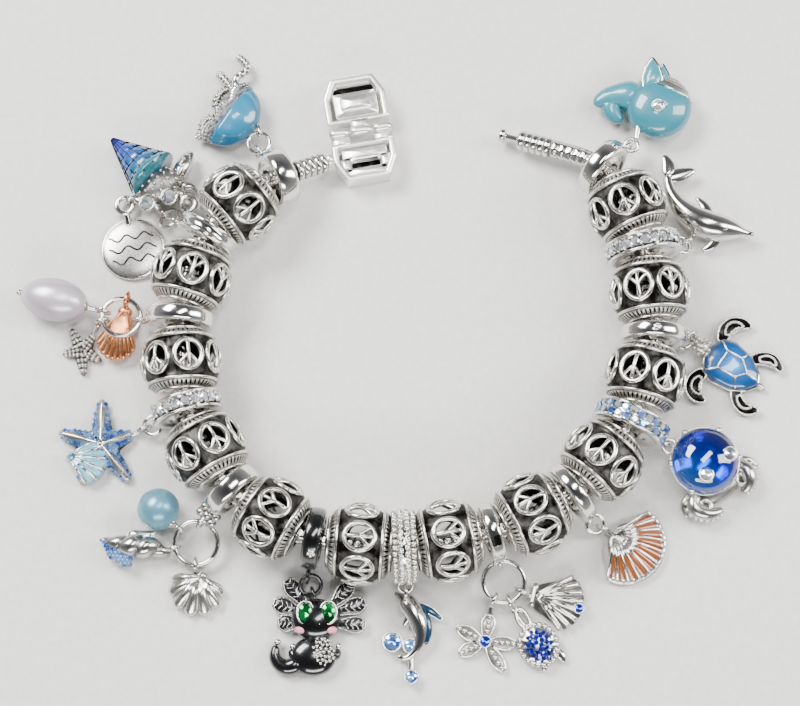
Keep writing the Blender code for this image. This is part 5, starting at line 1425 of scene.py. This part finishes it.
eyes = [layer for y in (-2.0, 1.5)
        for layer in in_cup((3.3, y, 2.85), 1.15, "green_stone", depth=0.9, stretch=(1.05, 1.4, 1.0))]
patch, patch_normals = spiral_places((9.2, 0.6, 1.5), (2.2, 2.0, 1.3), 36, 0.6)
feet = [limb([(9.0, y, 1.4, 0.9), (9.6, y * 1.5 - 0.4, 1.3, 0.8), (8.6, y * 1.7 - 0.4, 1.2, 0.5)])
        for y in (-2.2, 2.0)]
charm("axolotl", [
    (ball((4.2, -0.4, 1.7), (3.2, 3.8, 1.65), 18, 32), "black_enamel", 0.0),
    (cushion(outline([(5.6, -2.4), (8.8, -2.6), (8.8, 1.8), (5.6, 1.6)], 48, 3), pillow(0.3, 2.5)),
     "black_enamel", 0.1),
    (ball((9.8, -0.8, 1.4), (3.0, 3.5, 1.35), 18, 32), "black_enamel", 0.1),
    (limb([(10.4, -2.6, 1.3, 1.5, 1.3), (11.4, -4.8, 1.2, 1.3, 1.1), (10.2, -6.5, 1.2, 1.0, 1.0),
           (8.0, -6.4, 1.1, 0.6, 0.9)]), "black_enamel", 0.2),
    (gill_bodies, "black_enamel", 0.9),
    (gill_edges, SILVER, 0.4),
    *eyes,
    ([ball((5.9, y, 2.45), (0.6, 0.95, 0.5), 8, 16) for y in (-2.75, 1.95)], "pink_enamel", 0.3),
    (wire([(5.15, -1.9, 2.95), (5.3, -0.8, 3.12), (5.1, 0.3, 3.15)], 0.11), SILVER, 0.1),
    (scattered(GRAIN, patch, patch_normals, 0.36), SILVER, 0.3),
    (feet, "black_enamel", 0.3),
    ([ball((7.6, -6.3, 1.1), (0.5, 0.6, 0.6), 8, 12),
      *[ball((8.3, y, 1.4), (0.5, 0.5, 0.4), 8, 12) for y in (-3.9, 3.1)]], SILVER, 0.1),
], *on_ring("axolotl_ring"), (2.4, 0, 1.4), 0.6, finish="black_enamel", slot="black_enamel")

# %% Dolphin over three stones
fin, fin_rim = leaf([(2.8, 1.2), (4.0, 3.2), (5.0, 4.9), (4.4, 5.1), (2.9, 3.6), (2.2, 2.0)],
                    0.9, 1.9, 0.12)
cups = [layer for x, y, r in ((8.1, -2.6, 1.38), (8.7, 0.15, 1.05), (13.4, 0.3, 0.98))
        for layer in in_cup((x, y, 1.5), r, "sky_stone", depth=1.4)]
charm("dolphin_stones", [
    (limb([(0.6, -2.3, 1.25, 0.3), (1.0, -1.6, 1.3, 0.6), (1.7, -0.7, 1.4, 1.25), (3.0, 0.3, 1.6, 1.5),
           (4.8, 1.3, 1.6, 1.45), (6.6, 1.75, 1.45, 1.25), (8.4, 1.5, 1.35, 0.95), (9.7, 0.6, 1.3, 0.68),
           (10.5, -0.5, 1.2, 0.5), (10.2, -1.9, 1.1, 0.42)], 10, 20), SILVER, 0.1),
    (limb([(2.0, 0.9, 1.7, 0.4, 0.4), (4.0, 2.1, 1.75, 0.8, 0.7), (6.2, 2.8, 1.7, 0.75, 0.7),
           (8.6, 2.4, 1.6, 0.4, 0.5)], 8, 14), "dusk_enamel", 0.5),
    (fin, "dusk_enamel", 0.8), (fin_rim, SILVER, 0.0),
    (limb([(3.2, 0.3, 1.7, 0.55), (4.6, -0.3, 1.5, 0.5, 0.35), (5.7, -0.9, 1.1, 0.25)]), SILVER, 0.1),
    ([tube(np.linspace((8.6, 0.3, 1.0), (13.2, 0.3, 0.9), 6), 0.5),
      tube(np.linspace((8.1, -2.4, 0.9), (8.6, 0.3, 0.93), 5), 0.5)], SILVER, 0.2),
    (hoop((1.8, -0.35, 2.6), 0.34, 0.14, columns=16, sides=6), SILVER, 0.0),
    (ball((1.8, -0.35, 2.62), (0.26, 0.26, 0.12), 6, 10), AGED, 1.0),
    *cups,
], linked(7), np.array([1.0, 0, 0]), (2.6, 0.1, 1.4), 0.6)

# %% Three charms on the big lower ring
SMALL_MIDDLE = np.array((8.0, 0.4))
SMALL_TIPS = [(3.6, -0.3), (7.3, -4.4), (11.1, -2.7), (11.2, 4.6), (6.6, 5.0)]
petals = [blade([(*(SMALL_MIDDLE + (np.array(tip) - SMALL_MIDDLE) * s), w)
                 for s, w in ((0.1, 0.35), (0.4, 0.85), (0.7, 0.95), (0.98, 0.35))], 0.05, 1.2, 0.2)
          for tip in SMALL_TIPS]
shares = np.array((0.36, 0.54, 0.72, 0.9))
beads = on_arms(SMALL_MIDDLE, SMALL_TIPS, shares, 0 * shares, 1.32 - 0.3 * shares ** 4)
charm("small_star", [
    ([petal[0] for petal in petals], AGED, 0.55),
    ([petal[1] for petal in petals], SILVER, 0.0),
    (scattered(GRAIN, beads, UP, 0.5), SILVER, 0.1),
    *in_cup((8.0, 0.4, 1.55), 0.85, "deep_stone", depth=0.9),
], *on_ring("ring_08", -42), (5.0, 0, 0.7))
turn = bearings(60)
ruffle = 1 + 0.05 * np.cos(11 * turn)[:, None]
body = (8.6, 0.3) + (3.4, 3.1) * ruffle * compass(turn)[:, :2]
places, normals = spiral_places((8.7, 0.3, 0.5), (2.9, 2.6, 2.1), 52, 0.75)
edging = (8.6, 0.3, 1.35) + (3.15, 2.85, 0) * compass(bearings(22))
link = hoop((0, 0, 0), 1.0, 0.36, columns=30)
flippers = [limb(rows) for rows in (
    [(10.4, 2.0, 0.9, 0.8, 0.5), (11.8, 2.6, 0.8, 0.7, 0.4), (12.8, 2.4, 0.6, 0.35, 0.3)],
    [(11.4, -0.4, 0.9, 0.7, 0.5), (12.6, -0.8, 0.8, 0.5, 0.4)],
    [(5.6, 0.2, 1.2, 0.9, 0.8), (4.8, 0.1, 1.3, 0.8, 0.7)])]
charm("pave_turtle", [
    (cushion(body, pillow(0.05, 2.3, 0.35, 10)), SILVER, 0.35),
    (scattered(GRAIN, edging, UP, 0.5), SILVER, 0.15),
    (scattered(CUT_STONE, places, normals, 0.42), "deep_stone", 0.0, True),
    (flippers, SILVER, 0.2),
    ((link[0] * (1.6, 0.85, 1) + (4.0, 0.05, 1.35), link[1]), SILVER, 0.1),
], *on_ring("ring_08", 2), (6.0, 0, 0.9), 0.45, slot="blue_enamel")
RIBBED = dict(umbo=(3.2, 0), reach=7.6, spread=80, low=0.3, rise=1.7, side=0.86)
shape, _, _ = fan(**RIBBED, ribs=7, ears=1.6, depth=0.1)
charm("fan_shell", [
    (shape, AGED, 0.85),
    (fan_ribs(**RIBBED, count=8, width=0.5, lift=0.15, start=0.05), SILVER, 0.1),
    (tube(np.linspace((3.0, -1.8, 1.3), (3.0, 1.8, 1.3), 6), 0.5, sides=14), SILVER, 0.1),
    *in_cup((10.1, -0.4, 1.6), 0.72, "deep_stone", depth=1.0),
], *on_ring("ring_08", 48), (3.9, 0, 1.2))

# %% Copper scallop
COPPER = dict(umbo=(2.4, 0), reach=8.4, spread=134, low=0.05, rise=2.6, side=0.8)
shape, _, out = fan(**COPPER, ribs=10, ears=2.7, depth=0.2, lobe=0.05)
way = np.abs(np.arctan2(shape[0][:, 1], shape[0][:, 0] - 2.5))
outer, inner = split(shape, (out > 0.4) & (out < 0.96) & (way < np.radians(66)))
RIM_AT = 0.98
t = np.linspace(-1, 1, 60)[:, None]
reach = RIM_AT * COPPER["reach"] * (1 - (1 - COPPER["side"]) * t ** 2)
rim_height = fan_height(RIM_AT, COPPER["low"], COPPER["rise"]) - 0.1
round_rim = (*COPPER["umbo"], rim_height) + reach * compass(np.radians(COPPER["spread"] / 2) * t[:, 0])
charm("orange_shell", [
    (outer, "copper_enamel", 0.5),
    (inner, SILVER, 0.2),
    (fan_ribs(**COPPER, count=11, width=0.26, lift=0.14, start=0.2), SILVER, 0.0),
    (tube(round_rim, 0.26, sides=8), SILVER, 0.0),
], *on_ring("shell_ring"), (3.4, 0.1, 1.2), slot="copper_enamel")

# %% [markdown]
# ## The charms of the right side
# A crab with a cobalt glass back, an enamelled turtle, a plain silver dolphin and a small whale.

# %% Crab
claws, teeth = [], []
for rows in (
        [(9.6, 3.4, 1.8, 0.9), (11.2, 4.9, 1.8, 1.3), (13.0, 4.2, 1.7, 1.2), (13.9, 2.2, 1.4, 0.45)],
        [(9.6, -3.2, 1.8, 0.9), (11.2, -5.1, 1.8, 1.3), (13.2, -4.2, 1.7, 1.2), (14.1, -1.6, 1.4, 0.45)]):
    claws.append(limb(rows, 8, 16))
    line = spline(rows, 4)
    bend = np.sign(rows[0][1])
    out = unit(np.cross(np.gradient(line[:, :3], axis=0), UP)) * -bend
    teeth.append(scattered(GRAIN, line[2:-1, :3] + out[2:-1] * line[2:-1, 3:4] + (0, 0, 0.2), UP, 0.36))
    x, y = rows[1][0] + 0.9, rows[1][1] - bend * 1.5
    claws.append(hoop((x, y, 2.2), 0.8, 0.4, columns=24))
    claws.append(limb([(9.2, bend * 4.2, 1.4, 0.6), (10.2, bend * 6.4, 1.2, 0.5),
                       (12.0, bend * 6.8, 0.9, 0.3)]))
BACK, BACK_RADII, PAINTED_GLOW_WAY = np.array([6.6, 0.2, 3.9]), (5.2, 5.2, 3.4), unit((0.35, -0.94, 0.0))
rim = turned([(0, 0.5), (3.4, 0.5), (4.2, 1.0), (4.9, 2.0), (5.28, 3.1), (5.4, 3.5), (5.3, 3.75),
              (5.2, 3.5), (4.9, 2.6), (4.2, 1.5), (3.2, 0.85), (0, 0.8)], 56, BACK * (1, 1, 0))
prongs = BACK - (0, 0, 0.05) + 5.3 * compass(np.radians((178, 118, 238, 60, 300)))
glass_ball = ball(BACK, BACK_RADII, 32, 56)
# The glass ball's tone grows towards one side, so it is painted bright there, as if light came through it,
# and dark on the far side: a painted glow and painted shade.
glass_painted_glow = 0.5 + 0.5 * ((glass_ball[0] - BACK) / BACK_RADII[0]) @ PAINTED_GLOW_WAY
charm("crab", [
    (glass_ball, "cobalt_glass", glass_painted_glow),
    (rim, SILVER, 0.05),
    (scattered(GRAIN, prongs, UP, 0.6), SILVER, 0.0),
    (claws, SILVER, 0.35),
    (teeth, SILVER, 0.1),
    (ball((11.4, 0.1, 1.6), (1.6, 3.8, 1.1), 12, 24), AGED, 0.6),
    *in_cup((8.2, 3.3, 6.6), 1.0, "clear_stone", depth=1.7),
    *in_cup((8.6, -1.6, 6.75), 1.0, "clear_stone", depth=1.7),
], linked(10), None, (3.4, -1.6, 3.2), 0.6, slot="blue_glass")

# %% Turtle
RIM = [(4.0, 1.0), (3.9, -1.4), (4.9, -3.2), (6.9, -4.0), (10.3, -3.7), (12.5, -2.4), (13.9, -0.5),
       (13.1, 1.2), (10.7, 3.1), (7.3, 3.8), (5.1, 3.2)]
SHELL_MIDDLE, SHELL_LOW, SHELL_HIGH, SHELL_EDGE = np.array([8.7, -0.1]), 1.2, 2.75, 0.2
HEAD = ((2.9, -0.1, 1.55), (1.45, 1.4, 1.3))
rim_line = outline(RIM, 110, 3)
dome_line = SHELL_MIDDLE + (rim_line - SHELL_MIDDLE) * 0.93
panel = np.array([(6.7, 1.4), (9.3, 1.6), (11.1, -0.1), (9.8, -1.6), (6.7, -1.8)])


def shell_height(place):
    """The height of the pillow over a place: the quarter ellipse at its share of the outline."""
    away, around = np.asarray(place) - SHELL_MIDDLE, dome_line - SHELL_MIDDLE
    angle = np.arctan2(around[:, 1], around[:, 0])
    order = np.argsort(angle)
    reach = np.interp(np.arctan2(away[..., 1], away[..., 0]), angle[order],
                      np.linalg.norm(around, axis=1)[order], period=TURN)
    share = np.clip(np.linalg.norm(away, axis=-1) / reach, 0, 1)
    wall = SHELL_LOW + (SHELL_HIGH - SHELL_LOW) * SHELL_EDGE
    return wall + (SHELL_HIGH - wall) * np.sqrt(1 - share ** 2)


lines = []
for a, b in zip(panel, np.roll(panel, -1, 0)):
    lines.append(a + (b - a) * np.linspace(0, 1, 10)[:, None])
    out = SHELL_MIDDLE + (a - SHELL_MIDDLE) * np.linspace(1, 1.95, 10)[:, None]
    lines.append(out[shell_height(out) > SHELL_LOW + 0.32])
cloisons = [tube(np.column_stack([line, shell_height(line) + 0.02]), 0.17, sides=8) for line in lines]
fins = [blade(rows, 0.45, 1.35, 0.2) for rows in (
    [(5.3, 2.6, 0.7), (4.8, 4.4, 1.1), (5.4, 6.1, 1.15), (6.7, 7.0, 0.8), (7.9, 7.2, 0.3)],
    [(5.4, -3.0, 0.7), (4.8, -4.8, 1.1), (5.4, -6.5, 1.15), (6.7, -7.2, 0.8), (7.9, -7.0, 0.3)],
    [(10.7, 2.6, 0.7), (12.2, 3.9, 1.0), (13.8, 4.3, 0.9), (15.5, 3.5, 0.35)],
    [(10.9, -2.9, 0.7), (12.4, -4.3, 1.0), (14.0, -4.7, 0.9), (15.6, -3.8, 0.35)])]
edge_lines = [edge[0].reshape(-1, 6, 3).mean(axis=1) for _, edge in fins]
middles = [body[0].mean(axis=0) * (1, 1, 0) for body, _ in fins]
beading = np.concatenate([line[::3] for line in edge_lines])
inner_beading = np.concatenate([middle + (line[::4] - middle) * (0.52, 0.52, 1) + (0, 0, 0.42)
                                for line, middle in zip(edge_lines, middles)])
heads, head_normals = spiral_places(*HEAD, 16, 0.8)
dome = cushion(dome_line, pillow(SHELL_LOW, SHELL_HIGH, SHELL_EDGE, 12), SHELL_MIDDLE)
dome_tone = np.clip(1 - np.linalg.norm(dome[0][:, :2] - SHELL_MIDDLE, axis=1) / 4, 0, 1)
charm("turtle", [
    (cushion(rim_line, pillow(0.5, 1.5, 0.6, 6)), SILVER, 0.1),
    (dome, "royal_enamel", dome_tone),
    (cloisons, SILVER, 0.0),
    ([ball(*HEAD, 12, 20), limb([(3.6, -0.1, 1.2, 0.8), (4.9, -0.1, 1.2, 0.9)]),
      limb([(13.1, -0.4, 0.9, 0.7), (14.9, -0.4, 0.7, 0.4)])], AGED, 0.3),
    (scattered(GRAIN, heads, head_normals, 0.34), SILVER, 0.2),
    ([body for body, _ in fins], AGED, 1.0),
    ([edge for _, edge in fins], SILVER, 0.1),
    (scattered(GRAIN, beading, UP, 0.27), SILVER, 0.1),
    (scattered(GRAIN, inner_beading, UP, 0.3), SILVER, 0.2),
], *on_ring("turtle_ring"), (2.7, 0.1, 1.2), slot="blue_enamel")

# %% Silver dolphin
body = limb([(10.7, 1.0, 2.1, 0.3), (9.5, 1.15, 2.2, 0.55), (8.4, 1.35, 2.3, 1.05), (7.2, 1.6, 2.4, 1.6),
             (5.6, 1.9, 2.45, 2.1), (3.6, 2.3, 2.6, 2.3), (1.6, 3.2, 2.6, 2.2), (-0.4, 4.8, 2.5, 1.75),
             (-2.0, 7.0, 2.3, 1.15), (-2.8, 9.2, 2.1, 0.8), (-3.0, 11.0, 2.0, 0.6)], 12, 28)
fins = [limb(rows, 8, 16) for rows in (
    [(-2.9, 10.4, 2.0, 0.8, 0.5), (-1.2, 10.9, 2.0, 1.15, 0.4), (1.6, 11.9, 1.9, 0.35, 0.25)],
    [(-2.9, 10.6, 2.0, 0.8, 0.5), (-2.7, 12.4, 2.0, 1.1, 0.4), (-3.4, 14.4, 1.9, 0.35, 0.25)],
    [(3.2, 3.4, 2.9, 1.2, 0.8), (2.9, 5.0, 2.9, 0.9, 0.5), (1.4, 7.0, 2.7, 0.3, 0.3)],
    [(5.0, 0.6, 2.0, 0.8, 0.5), (3.6, -0.8, 1.5, 0.75, 0.4), (2.2, -1.4, 1.1, 0.3, 0.25)])]
charm("silver_dolphin", [
    (body, SILVER, 0.12),
    (fins, SILVER, 0.1),
    (hoop((5.6, 1.5, 4.35), 0.42, 0.12, columns=18, sides=6), AGED, 0.5),
    (wire([(10.5, 1.1, 2.42), (9.2, 1.0, 2.8), (7.8, 0.8, 3.4)], 0.08), AGED, 1.0),
], *on_ring("dolphin_ring"), (1.5, 2.2, 2.0), 0.6)

# %% Whale
WHALE, WHALE_RADII, BELLY_WAY = np.array([7.0, -1.0, 3.0]), (5.4, 5.2, 2.9), unit((0.93, 0.36, 0.0))
BELLY_FROM, PLEATS = 0.5, 30


def pleat(rise):
    """The belly's pleats as a wave from nought to one, round the way that the belly looks."""
    return 0.5 + 0.5 * np.cos(np.arccos(np.clip(rise, -1, 1)) * PLEATS)


lean = axes((0, 0, 0), UP, np.cross(BELLY_WAY, UP), BELLY_WAY)
sphere = placed(lean, ball((0, 0, 0), 1, 40, 48))
rise = sphere[0] @ BELLY_WAY
grooves = 1 - 0.03 * (rise > BELLY_FROM) * pleat(rise)
points = WHALE + sphere[0] * grooves[:, None] * WHALE_RADII
belly, back = split((points, sphere[1]), rise > BELLY_FROM)
belly_tone = 0.15 + 0.8 * pleat(unit((belly[0] - WHALE) / WHALE_RADII) @ BELLY_WAY) ** 2
seam = bearings(48)[:, None]
seam_way = np.cos(seam) * UP + np.sin(seam) * np.cross(BELLY_WAY, UP)
edge = WHALE + WHALE_RADII * (BELLY_FROM * BELLY_WAY + np.sqrt(1 - BELLY_FROM ** 2) * seam_way)
tail = [limb(rows, 8, 20) for rows in (
    [(6.4, 2.0, 2.9, 3.0, 2.3), (5.0, 3.9, 2.7, 2.5, 1.9), (3.6, 5.2, 2.5, 2.0, 1.5),
     (2.0, 6.2, 2.3, 1.6, 1.2), (0.1, 6.9, 2.1, 0.7, 0.7)],
    [(2.8, 5.8, 2.3, 1.5, 1.2), (1.6, 4.4, 2.2, 1.55, 1.1), (1.2, 2.9, 2.1, 1.25, 0.9),
     (1.5, 1.6, 2.0, 0.6, 0.6)])]
fins = [leaf([(6.8, 2.4), (8.6, 0.6), (10.4, 1.6), (11.5, 3.6), (11.8, 5.3), (10.2, 5.0), (8.2, 4.0)],
             3.4, 5.6, 0.24),
        leaf([(9.2, 1.2), (10.4, 0.2), (11.8, 1.4), (12.5, 3.4), (11.2, 3.4)], 2.6, 4.8, 0.2)]
charm("whale", [
    (back, "aqua_enamel", 0.3),
    (belly, AGED, belly_tone),
    (tube(edge, 0.16, sides=6, closed=True, up=BELLY_WAY), SILVER, 0.0),
    (tail, "aqua_enamel", 0.5),
    ([body for body, _ in fins], "aqua_enamel", 0.6),
    ([edge for _, edge in fins], SILVER, 0.0),
    *in_cup((6.1, -1.2, 5.8), 0.9, "clear_stone", depth=0.5),
], linked(13), None, (3.0, -0.4, 3.2), 0.7, slot="turquoise")

# %% Give the solids that are still shown the polished silver finish
for name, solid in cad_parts.items():
    if not solid.hide_render:
        solid.data.materials.clear()
        solid.data.materials.append(FINISHES[SILVER])
